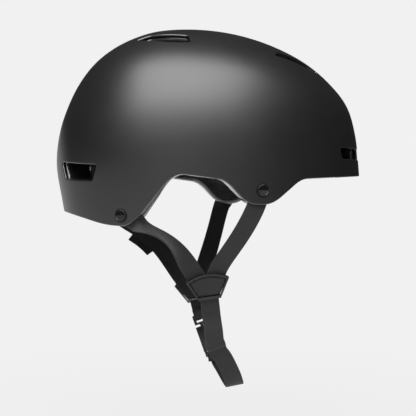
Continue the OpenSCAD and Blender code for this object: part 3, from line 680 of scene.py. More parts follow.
# %% Handling
HANDLING, given, wanted = new_group(
    "handling", {"Vector": None, "Low": 0.4, "High": 0.5}, ["Roughness", "Cloud"])
broad = add(HANDLING, "ShaderNodeTexNoise",
            {"Vector": given["Vector"], "Scale": 26.0, "Detail": 4.0, "Roughness": 0.62})
small = add(HANDLING, "ShaderNodeTexNoise", {"Vector": given["Vector"], "Scale": 190.0, "Detail": 2.0})
cloud = blended(HANDLING, 0.3, broad.outputs[0], small.outputs[0])
feed(HANDLING, wanted["Cloud"], cloud)
feed(HANDLING, wanted["Roughness"], blended(HANDLING, cloud, given["Low"], given["High"]))
print("nodes of the handling:", len(HANDLING.nodes))

# %% [markdown]
# Webbing is woven in a herringbone: ribs run along the tape, and in every second rib the threads
# slant the other way. So the weave is drawn from the tape's own length and width in millimetres,
# and not from its place in space, where it would slide off a strap that turns. The foam's beads
# are the cells of a Voronoi pattern, each one raised above the seam around it.


# %% Weave and beads
def woven(operation, *values):
    return calc(WEAVE, operation, *values)


WEAVE, given, wanted = new_group("webbing weave", {"UV": None, "Rib": 1.05, "Pick": 1.5}, ["Height"])
along, across, _ = add(WEAVE, "ShaderNodeSeparateXYZ", {0: given["UV"]}).outputs
along, across = woven("DIVIDE", along, given["Pick"]), woven("DIVIDE", across, given["Rib"])
direction = woven("MULTIPLY_ADD", woven("FLOORED_MODULO", woven("FLOOR", across), 2.0), 2.0, -1.0)
from_middle = woven("SUBTRACT", woven("FRACT", across), 0.5)
slanted = woven("MULTIPLY_ADD", woven("MULTIPLY", from_middle, direction), 0.9, along)
pick = woven("ABSOLUTE", woven("SINE", woven("MULTIPLY", slanted, math.pi)))
to_side = woven("POWER", woven("ABSOLUTE", woven("MULTIPLY", from_middle, 2.0)), 3.0)
rib = woven("MULTIPLY_ADD", to_side, -0.8, 1.0)
feed(WEAVE, wanted["Height"], woven("MULTIPLY", rib, woven("POWER", pick, 0.6)))

BEADS, given, wanted = new_group("moulded beads", {"Vector": None, "Size": 300.0}, ["Height", "Seam"])
to_seam = add(BEADS, "ShaderNodeTexVoronoi", {"Vector": given["Vector"], "Scale": given["Size"]},
              feature="DISTANCE_TO_EDGE")
raised = calc(BEADS, "MULTIPLY", to_seam.outputs[0], 9.0, clamp=True)
feed(BEADS, wanted["Height"], raised)
feed(BEADS, wanted["Seam"], calc(BEADS, "SUBTRACT", 1.0, raised))
print("shader groups:", [g.name for g in bpy.data.node_groups])

# %% [markdown]
# Everything that shows is black, so the materials differ in gloss and texture, not in colour. The shell
# is matt paint with a faint sheen, but its lips are rubbed smooth and catch the light, so a coat
# lies on them alone, by the attribute lip. The foam is smoother, with its beads showing, the
# webbing is nylon with a herringbone weave, and the fittings are satin nylon. A rivet's head has
# painted shade in the upper half of its hollow face, which is darker and dull there, and it shines
# everywhere else. One function builds all the materials, because they share most of their nodes
# and differ in values.


# %% How a material is made, and the shell's paint
def grey(tone):
    """A grey with a very little blue in it."""
    return tone, tone, tone * 1.04, 1


def attribute(tree, name):
    return add(tree, "ShaderNodeAttribute", attribute_name=name).outputs["Fac"]


def surface(name, dark, light, tint_by, rough, pattern=None, relief=None, dull=None, **settings):
    """A material whose colour runs from dark to light with the mask that tint_by names.

    rough is one number, or two between which handling varies it, and dull is the roughness where
    that mask is 0. pattern is a group and its values, relief the strength and depth of its bumps,
    and settings go to the shader's sockets."""
    made = bpy.data.materials.new(name)
    made.use_nodes = True
    made.diffuse_color = grey(dark)
    tree, shader = made.node_tree, made.node_tree.nodes["Principled BSDF"].inputs
    where = add(tree, "ShaderNodeTexCoord").outputs
    masks = {}
    if pattern:
        group, *values = pattern
        inputs = dict(enumerate([where["UV" if group == WEAVE else "Object"], *values]))
        masks.update(add(tree, "ShaderNodeGroup", inputs, node_tree=group).outputs.items())
    if isinstance(rough, tuple):
        inputs = {"Vector": where["Object"], "Low": rough[0], "High": rough[1]}
        masks.update(add(tree, "ShaderNodeGroup", inputs, node_tree=HANDLING).outputs.items())
        rough = masks["Roughness"]
    tint = masks[tint_by] if tint_by in masks else attribute(tree, tint_by)
    if dull:
        rough = blended(tree, tint, dull, rough)
    feed(tree, shader["Roughness"], rough)
    colour = add(tree, "ShaderNodeMix", {0: tint, 6: grey(dark), 7: grey(light)}, data_type="RGBA")
    feed(tree, shader["Base Color"], colour.outputs[2])
    if relief:
        lifted = add(tree, "ShaderNodeBump", {"Height": masks["Height"], "Strength": relief[0],
                                              "Distance": relief[1]})
        feed(tree, shader["Normal"], lifted.outputs["Normal"])
    for key, value in settings.items():
        shader[key.replace("_", " ")].default_value = value
    return made


SHELL_PAINT = surface("matt black paint", 0.006, 0.010, "Cloud", (0.36, 0.43), (GRAIN, 1500.0),
                      (0.35, 0.00003), Specular_IOR_Level=0.8, Coat_Roughness=0.08, Coat_IOR=1.8)
feed(SHELL_PAINT.node_tree, SHELL_PAINT.node_tree.nodes["Principled BSDF"].inputs["Coat Weight"],
     attribute(SHELL_PAINT.node_tree, "lip"))
print("nodes of the shell's paint:", len(SHELL_PAINT.node_tree.nodes))

# %% The other materials
SOFT_SHEEN = {"Sheen_Roughness": 0.45}
FITTING = surface("satin black nylon", 0.012, 0.020, "Cloud", (0.20, 0.30), (GRAIN, 2200.0),
                  (0.35, 0.00002))
# the rivet's colour runs from near black on the upper half of its hollow, a painted shade, to its own dark
# grey elsewhere
RIVET = surface("semi-gloss black nylon", 0.002, 0.022, "glossy_unshaded", (0.26, 0.34), (GRAIN, 2600.0),
                (0.35, 0.00002), dull=0.9, Specular_IOR_Level=0.3)
WEBBING = surface("black nylon webbing", 0.007, 0.040, "Height", (0.55, 0.8), (WEAVE, 1.05, 1.5),
                  (0.6, 0.00025), Specular_IOR_Level=0.35, Sheen_Weight=0.25, **SOFT_SHEEN)
LABEL = surface("black label tape", 0.010, 0.024, "Height", (0.55, 0.8), (WEAVE, 0.5, 0.6),
                (0.6, 0.0001), Specular_IOR_Level=0.35, Sheen_Weight=0.2, **SOFT_SHEEN)
FOAM = surface("black moulded foam", 0.020, 0.008, "Seam", 0.42, (BEADS, 290.0), (0.6, 0.0003),
               Coat_Weight=1.0, Coat_Roughness=0.05, Coat_IOR=1.8)
PAD = surface("black brushed knit", 0.008, 0.026, "Height", 0.85, (GRAIN, 1100.0), (0.7, 0.0004),
              Specular_IOR_Level=0.25, Sheen_Weight=0.5, **SOFT_SHEEN)
HOOKS = surface("black hook tape", 0.020, 0.006, "Seam", 0.6, (BEADS, 900.0), (0.8, 0.0004),
                Specular_IOR_Level=0.4)
STEEL = surface("plain steel", 0.42, 0.60, "Cloud", (0.22, 0.42), Metallic=1.0)
THREAD = surface("black sewing thread", 0.014, 0.036, "Height", 0.5, (GRAIN, 3500.0),
                 Specular_IOR_Level=0.4, Sheen_Weight=0.2, **SOFT_SHEEN)
print("materials in the file:", len(bpy.data.materials))

# %% [markdown]
# The real shell is hard plastic, painted matt. A thickened surface with boolean cuts could give
# its form, but not clean lips, so it is sewn from two skins, 2.6 mm apart. Its lips and its lower
# edge are rounded by under a millimetre, which is what draws the thin light lines along them. The
# rivets sit in shallow round recesses.

# %% Shell
SHELL_LIP, SHELL_RIM, SHELL_SPACING = 0.9, 0.9, 3.4
INNER_LIP, INNER_HOLE_LIP, INNER_SPACING = 0.4, 0.3, 5.0
RECESS = [(0, 1.2), (3.0, 1.2), (3.16, 1.08), (3.26, 0.4), (3.38, 0.12), (3.66, 0), (4.1, 0)]
outer = skin(even_depth(0), [(v, lip(SHELL_LIP)) for v in VENTS] + [(h, RECESS) for h in RIVET_HOLES],
             SHELL_RIM, SHELL_SPACING)
inner = skin(even_depth(SHELL_T), [(v, lip(INNER_LIP)) for v in VENTS]
             + [(h, lip(INNER_HOLE_LIP)) for h in RIVET_HOLES], INNER_LIP, INNER_SPACING, -1)
shell = wall("shell_skin", outer, inner)
dress(shell, SHELL_PAINT, "helmet", "shell")

# %% [markdown]
# The real liner is one block of moulded foam, which fills the shell to within a third of a
# millimetre. It is thickest at the crown, the brow and the nape and thins towards the lower edge.
# It is sewn from two skins as the shell is, with the same outlines, so the vents run on through it
# in line. Its lips are rounder than the shell's, and deep enough to show as a light line. The
# packed liner's pockets for the strap ends are left out, so those ends and the washers lie hidden
# in the foam.

# %% Foam liner
FOAM_LIP, FOAM_LIP_SINK, FOAM_RIM, FOAM_SPACING = 2.0, 1.6, 0.7, 5.0
FOAM_INNER_LIP, FOAM_INNER_RIM, FOAM_INNER_SPACING = 2.2, 2.6, 4.0
outer = skin(even_depth(SHELL_T + LINER_GAP), [(v, lip(FOAM_LIP, FOAM_LIP_SINK)) for v in VENTS],
             FOAM_RIM, FOAM_SPACING)
inner = skin(liner_depth, [(v, lip(FOAM_INNER_LIP)) for v in VENTS],
             FOAM_INNER_RIM, FOAM_INNER_SPACING, -1)
liner = wall("liner_foam_body", outer, inner, 5)
dress(liner, FOAM, "helmet", "liner")

# %% [markdown]
# The straps are flat webbing. A curve object with a flat profile could draw them, but it picks its
# own twist. So each one is a ribbon swept along stations: a point and the direction across the
# tape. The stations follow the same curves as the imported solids, only closer together, and the
# tape has rounded edges and a UV map in millimetres for its weave. The dividers and the buckle
# hang at a slant, so each has a frame of its own, in which its parts are easy to place.


# %% Frames of the dividers and the buckle
def spin(i, j, degrees):
    """A turn that takes axis i towards axis j."""
    turn, a = np.eye(3), math.radians(degrees)
    turn[i, i] = turn[j, j] = math.cos(a)
    turn[i, j], turn[j, i] = math.sin(a), -math.sin(a)
    return turn


def fitting(place, lean, roll, turn=0):
    """Origin and axes of a fitting."""
    return np.array(place, float), spin(1, 0, turn) @ spin(0, 2, roll) @ spin(2, 1, lean)


def in_frame(fit, points):
    return np.asarray(points, float) @ fit[1] + fit[0]


def flipped(fit):
    return tuple(part * FLIP for part in fit)


WEB_W, WEB_T = 17.0, 1.2
DIVIDER_T, DIVIDER_LEAN, SLOT_GAP, STRAP_GAP = 2.4, 20.0, 0.4, 0.8
RIGHT_DIVIDER = fitting((-4.1, 46, -112.0), DIVIDER_LEAN, 8.5)
LEFT_DIVIDER = fitting((-3.8, 46, -120.8), DIVIDER_LEAN, 11.0)
BUCKLE = fitting((-0.2, 37.6, -133.4), 6.0, 19.0, 18.0)
STRAP_DEPTH = SHELL_T + STRAP_GAP + WEB_T / 2
WEB_IN = DIVIDER_T / 2 + SLOT_GAP + WEB_T / 2
print("axis down the buckle:", [round(-v, 3) for v in BUCKLE[1][2]])

# %% [markdown]
# Each side has a V of two straps. A strap starts flat just inside the shell, where its rivet holds
# it, hangs free in a soft curve, twists a little, and ends flat behind its divider. The right
# side's are reckoned on the left like all the others and flipped at the end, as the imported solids
# are.


# %% Paths of the four V straps
FREE_STEPS, RIVET_END = 44, -7.5
FRONT_EXIT, REAR_EXIT, CROSS_Z, JUNCTION_Z = 14.5, 13.5, 23.5, 4.1
FRONT_CROSS, REAR_CROSS = 9.2, -10.5
FRONT_LAYER, REAR_LAYER = WEB_IN, WEB_IN + WEB_T + 0.3


def turned(v, axis, degrees):
    a = math.radians(degrees)
    return v * math.cos(a) + np.cross(axis, v) * math.sin(a) + axis * np.dot(axis, v) * (1 - math.cos(a))


def bezier(a, b, c, d, f):
    g = 1 - f
    return a * g ** 3 + b * 3 * g * g * f + c * 3 * g * f * f + d * f ** 3


def v_strap(rivet, lead, leave, fit, cross_x, layer, twist, slack, bulge):
    """Stations of one strap: along the wall at its rivet, then free, then flat behind its divider."""
    ahead = np.array([math.cos(math.radians(lead)), math.sin(math.radians(lead))])

    def wall_run(d):
        return wall_point(*(rivet + d * ahead), STRAP_DEPTH)

    def wall_across(d):
        return unit(np.cross(wall_run(d + 1) - wall_run(d - 1), wall_normal(*(rivet + d * ahead))))

    def tucked(f):
        return in_frame(fit, [cross_x * (1 - f) ** 0.85, -layer, mix(CROSS_Z, JUNCTION_Z, f)])

    a, b = wall_run(leave), tucked(0)
    start, finish = unit(a - wall_run(leave - 1)), unit(tucked(0.1) - b)
    from_across, to_across = wall_across(leave), unit(np.cross(finish, fit[1][1]))

    def free(f):
        return bezier(a, a + start * slack[0], b - finish * slack[1], b, f) \
            + np.array(bulge) * math.sin(math.pi * f) ** 2

    stations = [(wall_run(d), wall_across(d)) for d in np.linspace(RIVET_END, leave, 12)[:-1]]
    for f in np.arange(FREE_STEPS + 1) / FREE_STEPS:
        run = unit(free(f + 0.01) - free(f))
        about = twist * math.sin(math.pi * min(1, f / 0.92) ** 0.6)
        stations.append((free(f), turned(unit(mix(from_across, to_across, smooth(f))), run, about)))
    return stations + [(tucked(f), unit(mix(to_across, fit[1][0], f))) for f in np.linspace(0.1, 1, 10)]


V_STRAPS = {
    "front_right": v_strap(FRONT_RIVET, -111, FRONT_EXIT, RIGHT_DIVIDER, FRONT_CROSS, FRONT_LAYER, 0,
                           (18, 16), (1.5, 0, 0)),
    "rear_right": v_strap(REAR_RIVET, -28, REAR_EXIT, RIGHT_DIVIDER, REAR_CROSS, REAR_LAYER, 78,
                          (22, 20), (1, 0, 4)),
    "front_left": v_strap(FRONT_RIVET, -122, FRONT_EXIT, LEFT_DIVIDER, FRONT_CROSS, FRONT_LAYER, 30,
                          (10, 14), (1.5, 0, 0)),
    "rear_left": v_strap(REAR_RIVET, -32, REAR_EXIT, LEFT_DIVIDER, REAR_CROSS, REAR_LAYER, 0,
                         (22, 20), (1.2, 0, 4.6)),
}
for key in ("front_right", "rear_right"):
    V_STRAPS[key] = [flipped(station) for station in V_STRAPS[key]]
print("stations:", {key: len(stations) for key, stations in V_STRAPS.items()})

# %% [markdown]
# Below the dividers one tape goes to each half of the buckle. The left one is short: it wraps the
# bar of the plug and is sewn to itself. The right one is the chin strap, which hangs down, folds
# once where it is creased, sags under the chin, turns round the socket's end bar and ends in a tail.

# %% Paths below the dividers
TOP_BAR, PLUG_T, END_R, SOCKET_L, MOUTH_Z = 2.4, 4.0, 1.8, 30.6, -10.0
END_BAR_Z = MOUTH_Z - SOCKET_L + END_R
WRAP_R, WRAP_Z = PLUG_T / 2 + SLOT_GAP + WEB_T / 2, -TOP_BAR + PLUG_T / 2
END_WRAP, TAIL_END = END_R + 0.5 + WEB_T / 2, (-1.5, -46.5)
BUCKLE_ACROSS, LEFT_ACROSS, RIGHT_ACROSS = BUCKLE[1][0], LEFT_DIVIDER[1][0], RIGHT_DIVIDER[1][0] * FLIP
HANGING = [
    ((0.6, -39, -143), (0.97, 0, 0.22)), ((1.6, -38.6, -153.5), (0.94, -0.1, 0.32)),
    ((2.4, -37.6, -156.8), (0.94, -0.1, 0.32)), ((3.8, -34.4, -159.2), (0.94, -0.1, 0.32)),
    ((6.2, -32.4, -162.4), (0.93, -0.12, 0.31)), ((10.6, -30.2, -168), (0.92, -0.15, 0.3)),
    ((18.4, -22, -182), (0.95, -0.2, 0.25)), ((23.4, -11, -193), (0.98, 0, 0.18)),
    ((25.2, 0, -197.2), (0.98, 0, 0.18)), ((23.6, 10, -194.2), (0.98, 0, 0.18)),
    ((19.6, 21, -185.6), (0.96, 0, 0.27))]


def by_buckle(y, z, x=0):
    return in_frame(BUCKLE, [x, y, z])


def loop_turn(z, r, degrees):
    return by_buckle(r * math.cos(math.radians(degrees)), z + r * math.sin(math.radians(degrees)))


def catmull(points, steps):
    """A smooth run through points."""
    points = np.array([points[0], *points, points[-1]], float)
    out = []
    for k in range(len(points) - 3):
        a, b, c, d = points[k:k + 4]
        for f in np.arange(steps) / steps:
            out.append(0.5 * (2 * b + (c - a) * f + (2 * a - 5 * b + 4 * c - d) * f * f
                              + (3 * b - a - 3 * c + d) * f ** 3))
    return out + [points[-1]]


web_left = [(in_frame(LEFT_DIVIDER, [0, -WEB_IN, z]), LEFT_ACROSS) for z in (3.5, 0, -3.5, -7)]
web_left.append((mix(web_left[-1][0], loop_turn(WRAP_Z, WRAP_R, 0), 0.5),
                 mix(LEFT_ACROSS, BUCKLE_ACROSS, 0.5)))
web_left += [(loop_turn(WRAP_Z, WRAP_R, -a), BUCKLE_ACROSS) for a in range(0, 181, 10)]
web_left += [(by_buckle(-WRAP_R, z), BUCKLE_ACROSS) for z in (3, 7)]

route = [(in_frame(RIGHT_DIVIDER, [0, -WEB_IN, z]) * FLIP, RIGHT_ACROSS)
         for z in (3.5, -3, -12, -20)] + HANGING
route += [(by_buckle(END_WRAP, END_BAR_Z - below), BUCKLE_ACROSS) for below in (8, 3, 0)]
chin = list(zip(catmull([p for p, _ in route], 8), catmull([a for _, a in route], 8)))
chin += [(loop_turn(END_BAR_Z, END_WRAP, a), BUCKLE_ACROSS) for a in range(10, 181, 10)]
tail_top, tail_foot = chin[-1][0], by_buckle(-END_WRAP, TAIL_END[1], TAIL_END[0])
chin += [(mix(tail_top, tail_foot, f), BUCKLE_ACROSS) for f in (0.34, 0.67, 1)]
print("stations of the left loop and the chin strap:", len(web_left), len(chin))

# %% [markdown]
# A ribbon's section is a thin oblong with rounded sides. Its rows are joined into a closed tube,
# and every corner of every face gets its place along and across the tape, so that the weave lies
# straight on it, however it turns. The straps cross the joint at which the harness swings, and
# each is baked in place where it hangs.


# %% Ribbons
SIDE_ROUND = 0.55
SWINGING = "helmet", "chin_loop", (0, 0, -0.050), (0, 0, -0.090)
TO_SOCKET = "chin_loop", "socket_body", (0.012, -0.030, -0.170), (0.021, 0.020, -0.187)


def tape_frame(stations):
    """Points of a tape, and its directions along, across and out of its face."""
    p, a = (np.array([s[k] for s in stations], float) for k in (0, 1))
    run = np.empty_like(p)
    run[1:-1], run[0], run[-1] = p[2:] - p[:-2], p[1] - p[0], p[-1] - p[-2]
    run = unit(run)
    across = unit(a - run * np.sum(run * a, 1, keepdims=True))
    return p, across, np.cross(run, across)


def run_length(points):
    return np.concatenate([[0], np.cumsum(np.linalg.norm(np.diff(points, axis=0), axis=1))])


def ribbon(name, stations, width=WEB_W, thick=WEB_T):
    """A tape with rounded sides along its stations, with a UV map in millimetres."""
    p, across, out = tape_frame(stations)
    flat, t, turn = width / 2 - SIDE_ROUND, thick / 2, np.radians([-60, -30, 0, 30, 60])
    half = [(x, -t) for x in np.linspace(-flat, flat, 9)] \
        + [(flat + SIDE_ROUND * math.cos(a), t * math.sin(a)) for a in turn]
    profile = np.concatenate([half, -np.array(half)])
    n, m = len(profile), len(stations)
    points = p[:, None] + across[:, None] * profile[:, :1] + out[:, None] * profile[:, 1:]

    along, around = run_length(p), run_length(np.append(profile, profile[:1], 0))
    k, q = np.divmod(np.arange((m - 1) * n), n)
    uv = np.stack([along[np.stack([k, k, k + 1, k + 1], 1)], around[np.stack([q, q + 1, q + 1, q], 1)]], -1)
    faces, uv = strip_faces(m, n).tolist(), uv.reshape(-1, 2).tolist()
    for k, order in ((0, -1), (m - 1, 1)):
        faces.append(list(range(k * n, k * n + n))[::order])
        uv += [(along[k] + y, x) for x, y in profile[::order]]
    return put_mesh(name, points.reshape(-1, 3), faces, uv)


for key, stations in V_STRAPS.items():
    dress(ribbon(f"webbing_{key}", stations), WEBBING, SWINGING, f"strap_{key}")

# %% [markdown]
# A divider is a small plate with a window in it: two side bars, a foot, and an arch at the top,
# and the window shows the two straps that cross and fold behind it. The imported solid's bars are
# stout enough to be strong in a simulation. On the real one they are slimmer, so the window's edges
# move out by 0.9 mm, and a piece of folded webbing that slides with the divider fills the opening.


# %% Windows of the dividers
BAR_FOOT, BAR_SIDE, BAR_ARCH, DIVIDER_H, DIVIDER_TIP, TIP_RISE = 3.6, 2.6, 3.0, 25.0, 19.7, 19.0
FOOT_HALF = WEB_W / 2 + 1.8
ARCH_RISE = DIVIDER_H - TIP_RISE
ARCH_R = (DIVIDER_TIP ** 2 + ARCH_RISE ** 2) / (2 * ARCH_RISE)
THINNED = 0.9
DIVIDERS = {"divider_right": flipped(RIGHT_DIVIDER), "divider_left": LEFT_DIVIDER}


def window_room(x, z):
    """How far a point of a divider's own frame lies inside its window's side bars and its arch."""
    side = FOOT_HALF - BAR_SIDE + z * (DIVIDER_TIP - FOOT_HALF) / TIP_RISE - np.abs(x)
    return side, ARCH_R - BAR_ARCH - np.hypot(x, z - DIVIDER_H + ARCH_R)


def open_window(piece, fit):
    """Moves the edges of a divider's window outwards."""
    local = (read_points(piece.data) / MM - fit[0]) @ fit[1].T
    x, z = local[:, 0].copy(), local[:, 2].copy()
    on_side, on_arch, on_foot = (np.abs(gap) < 0.25 for gap in (*window_room(x, z), z - BAR_FOOT))
    local[:, 0] += THINNED * np.sign(x) * on_side
    local[:, 2] += THINNED * (1.0 * on_arch - on_foot)
    write_points(piece.data, in_frame(fit, local) * MM)


print("radius of a divider's arch:", round(ARCH_R, 1))


# %% Folded webbing in the windows
FOLD_ACROSS, FOLD_UP, FOLD_BACK, FOLD_FOOT = 40, 30, -1.2, BAR_FOOT - THINNED + 0.75
FOLD_SUNK, FOLD_RISE, FOLD_SOFT = -0.9, 1.1, 2.2
LAP_X, LAP_Z, LAP_LEAN, LAP_RISE, LAP_SOFT = -0.6, 12, 0.12, 0.6, 0.9


def fold_grid():
    """Places across and up that fill the window, row by row, from the foot to the arch."""
    reach = ARCH_R - BAR_ARCH + THINNED - 0.05
    s, t = np.meshgrid(np.linspace(-1, 1, FOLD_ACROSS + 1), np.linspace(0, 1, FOLD_UP + 1))

    def half(z):
        return FOOT_HALF - BAR_SIDE + THINNED - 0.02 + z * (DIVIDER_TIP - FOOT_HALF) / TIP_RISE

    def top(x):
        return DIVIDER_H - ARCH_R + np.sqrt(reach ** 2 - x ** 2)

    tip = TIP_RISE
    for _ in range(30):
        tip = mix(tip, float(top(half(tip))), 0.5)
    low = mix(FOLD_FOOT, tip, t)
    z = low + t * (top(s * half(low)) - tip)
    x = s * half(z)
    x[-1] = s[-1] * half(tip)
    z[-1] = top(x[-1])
    return x, z


def window_fold(name, fit):
    """Webbing that bulges through a window, with one strap's edge lying over the other."""
    x, z = fold_grid()
    room = np.minimum(np.minimum(*window_room(x, z)), z - BAR_FOOT) + THINNED
    over = smooth((x - LAP_LEAN * (z - LAP_Z) - LAP_X) / LAP_SOFT)
    front = FOLD_SUNK + (FOLD_RISE + LAP_RISE * over) * smooth(room / FOLD_SOFT)
    flat = np.concatenate([np.stack([x, y, z], 2).reshape(-1, 3)
                           for y in (front, np.full_like(x, FOLD_BACK))])
    grid = np.arange(x.size).reshape(x.shape)
    quads = strip_faces(*x.shape, closed=False)
    rim = np.concatenate([grid[0], grid[1:, -1], grid[-1, -2::-1], grid[-2:0:-1, 0]])
    faces = quads.tolist() + (quads[:, ::-1] + x.size).tolist() + bridge_faces(rim, rim + x.size)
    uv = [(flat[k][2], flat[k][0]) for face in faces for k in face]
    return faced_outward(put_mesh(name, in_frame(fit, flat), faces, uv))


for key, fit in DIVIDERS.items():
    fold = window_fold(key.replace("divider", "window_fold"), fit)
    dress(fold, WEBBING, f"{key}_body")
dress(ribbon("webbing_left_loop", web_left), WEBBING, "chin_loop", "web_left")
dress(ribbon("webbing_chin", chin), WEBBING, TO_SOCKET, "chin_strap")

# %% [markdown]
# Rivets hold the straps in the wall. A rivet is a turned form, so one outline is spun into a
# template, and Geometry Nodes set a copy on each place with its axis along the wall's normal and
# its X downwards, because the upper and the lower half of a head aren't alike.


# %% Forms that repeat
def spun(name, outline, sides=48):
    """A closed turned form from an outline of (radius, height).

    An outline that starts on the axis ends there too, and any other one closes on itself."""
    poles = [h for r, h in outline if r == 0]
    rows = [q for q in outline if q[0] > 0]
    turn = 2 * math.pi * np.arange(sides) / sides
    points = [(r * math.cos(a), r * math.sin(a), h) for r, h in rows for a in turn]
    faces = strip_faces(len(rows), sides).tolist()
    first, last = np.arange(sides), np.arange(sides) + (len(rows) - 1) * sides
    if poles:
        points += [(0, 0, h) for h in poles]
        faces += [(b, a, len(points) - 2) for a, b in zip(first, np.roll(first, -1))]
        faces += [(a, b, len(points) - 1) for a, b in zip(last, np.roll(last, -1))]
    else:
        faces += bridge_faces(last, first)
    return faced_outward(put_mesh(name, points, faces))


def on_places_tree(name):
    """Geometry Nodes: a copy of a form on each point, with Z along the point's axis and X down."""
    tree = bpy.data.node_groups.new(name, "GeometryNodeTree")
    for label, kind in (("Places", "Geometry"), ("Form", "Object"),
                        ("Size", "Float"), ("Finish", "Material")):
        tree.interface.new_socket(label, in_out="INPUT", socket_type=f"NodeSocket{kind}")
    tree.interface.new_socket("Pieces", in_out="OUTPUT", socket_type="NodeSocketGeometry")
    given = tree.nodes.new("NodeGroupInput").outputs
    form = add(tree, "GeometryNodeObjectInfo", {"Object": given["Form"]}).outputs["Geometry"]
    axis = add(tree, "GeometryNodeInputNamedAttribute", {"Name": "axis"}, data_type="FLOAT_VECTOR")
    turn = add(tree, "FunctionNodeAlignRotationToVector", {"Vector": axis.outputs["Attribute"]}, axis="Z")
    drop = add(tree, "FunctionNodeAlignRotationToVector",
               {"Rotation": turn.outputs["Rotation"], "Vector": (0, 0, -1)}, axis="X", pivot_axis="Z")
    copies = add(tree, "GeometryNodeInstanceOnPoints", {
        "Points": given["Places"], "Instance": form,
        "Rotation": drop.outputs["Rotation"], "Scale": given["Size"]})
    real = add(tree, "GeometryNodeRealizeInstances", {"Geometry": copies.outputs["Instances"]})
    paint = add(tree, "GeometryNodeSetMaterial",
                {"Geometry": real.outputs["Geometry"], "Material": given["Finish"]})
    feed(tree, tree.nodes.new("NodeGroupOutput").inputs["Pieces"], paint.outputs["Geometry"])
    return tree


ON_PLACES = on_places_tree("copies on places")
PLACE_SOCKETS = {item.name: item.identifier for item in ON_PLACES.interface.items_tree}


def copies_on(name, places, form, finish, size=1.0):
    """A piece made of copies of a form on (point, axis) places; the form itself is removed."""
    mesh = bpy.data.meshes.new(name)
    mesh.from_pydata((np.array([p for p, _ in places], float) * MM).tolist(), [], [])
    axes = mesh.attributes.new("axis", "FLOAT_VECTOR", "POINT")
    axes.data.foreach_set("vector", np.array([a for _, a in places], np.float32).ravel())
    made = in_scene(name, mesh)
    setter = made.modifiers.new("copies", "NODES")
    setter.node_group = ON_PLACES
    for key, value in (("Form", form), ("Size", size), ("Finish", finish)):
        setter[PLACE_SOCKETS[key]] = value
    finished(made)
    bpy.data.objects.remove(form)
    if "axis" in made.data.attributes:
        made.data.attributes.remove(made.data.attributes["axis"])
    return made


print("inputs of the copies:", [key for key in PLACE_SOCKETS if key != "Pieces"])

# %% [markdown]
# A rivet's head stands 1.2 mm proud of the wall, and its face is hollow: an upper and a lower half
# slope in to a line across the middle. A mask marks the rim and the lower half, which shine, while
# the upper half stays dull and is painted near black, as painted shade. Behind the strap a steel
# washer spreads the load.

# %% Rivets and washers
HEAD_PROUD, HEAD_T, HOLLOW_R, HOLLOW_DEPTH, HOLLOW_SLOPE = 1.2, 2.2, HEAD_D / 2 - 0.75, 1.75, 0.38
RIDGE_X, HOLLOW_STEEP, PAINTED_SHADE_X = -0.3, 0.6, -0.5
WASHER_D, WASHER_T = 13.0, 1.2
HEAD_R, SHANK_R, WASHER_R = HEAD_D / 2, SHANK_D / 2, WASHER_D / 2
HEAD_UNDER = HEAD_PROUD - HEAD_T
WASHER_FOOT = -(STRAP_DEPTH + WEB_T / 2 + 0.3) - WASHER_T
cap_outline = [
    (0, WASHER_FOOT - 0.5), (SHANK_R * 0.6, WASHER_FOOT - 0.5), (SHANK_R + 0.35, WASHER_FOOT - 0.35),
    (SHANK_R + 0.5, WASHER_FOOT - 0.1), (SHANK_R, WASHER_FOOT), (SHANK_R, HEAD_UNDER - 0.4),
    (SHANK_R + 0.4, HEAD_UNDER), (HEAD_R - 0.25, HEAD_UNDER), (HEAD_R, HEAD_UNDER + 0.25),
    (HEAD_R, HEAD_PROUD - 0.55)]
cap_outline += [(HEAD_R - 0.5 * (1 - math.cos(a)), HEAD_PROUD - 0.5 * (1 - math.sin(a)))
                for a in np.radians((25, 45, 65, 85))]
cap_outline += [(HOLLOW_R - d, HEAD_PROUD) for d in (-0.1, 0.1, 0.3, 0.5)]
cap_outline += [(r, HEAD_PROUD) for r in np.linspace(HOLLOW_R - 0.9, 0, 9)]
cap_form = spun("rivet_form", cap_outline)
# the mask is 0 on the upper half of the hollow face, which is painted near black as painted shade and left
# dull, and 1 elsewhere
glossy_unshaded = cap_form.data.attributes.new("glossy_unshaded", "FLOAT", "POINT")
for point, mark in zip(cap_form.data.vertices, glossy_unshaded.data):
    x, y, z = point.co / MM
    mark.value = 1
    if z > HEAD_PROUD - 0.01 and math.hypot(x, y) < HOLLOW_R:
        steep = smooth((HOLLOW_R + 0.1 - math.hypot(x, y)) / HOLLOW_STEEP)
        point.co.z = (z - steep * (HOLLOW_DEPTH - HOLLOW_SLOPE * abs(x - RIDGE_X))) * MM
        mark.value = smooth((x - PAINTED_SHADE_X) / HOLLOW_STEEP)
rivets = copies_on("rivet_heads", RIVET_PLACES, cap_form, RIVET)
dress(rivets, RIVET, "helmet", "rivet_caps")

WASHER_FACE = WASHER_FOOT + WASHER_T
washer_form = spun("washer_form", [
    (SHANK_R + 0.06, WASHER_FOOT + 0.1), (SHANK_R + 0.2, WASHER_FOOT), (WASHER_R - 0.25, WASHER_FOOT),
    (WASHER_R, WASHER_FOOT + 0.25), (WASHER_R, WASHER_FACE - 0.25), (WASHER_R - 0.25, WASHER_FACE),
    (SHANK_R + 0.2, WASHER_FACE), (SHANK_R + 0.06, WASHER_FACE - 0.1)])
washers = copies_on("rivet_backing", RIVET_PLACES, washer_form, STEEL)
dress(washers, STEEL, "helmet", "rivet_washers")

# %% [markdown]
# The dividers and the buckle are moulded nylon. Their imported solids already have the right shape
# with sharp edges, so each piece starts as a merged copy of its solid, and its edges are rounded.
# The dividers get their wider windows first, so that the new edges are rounded too.

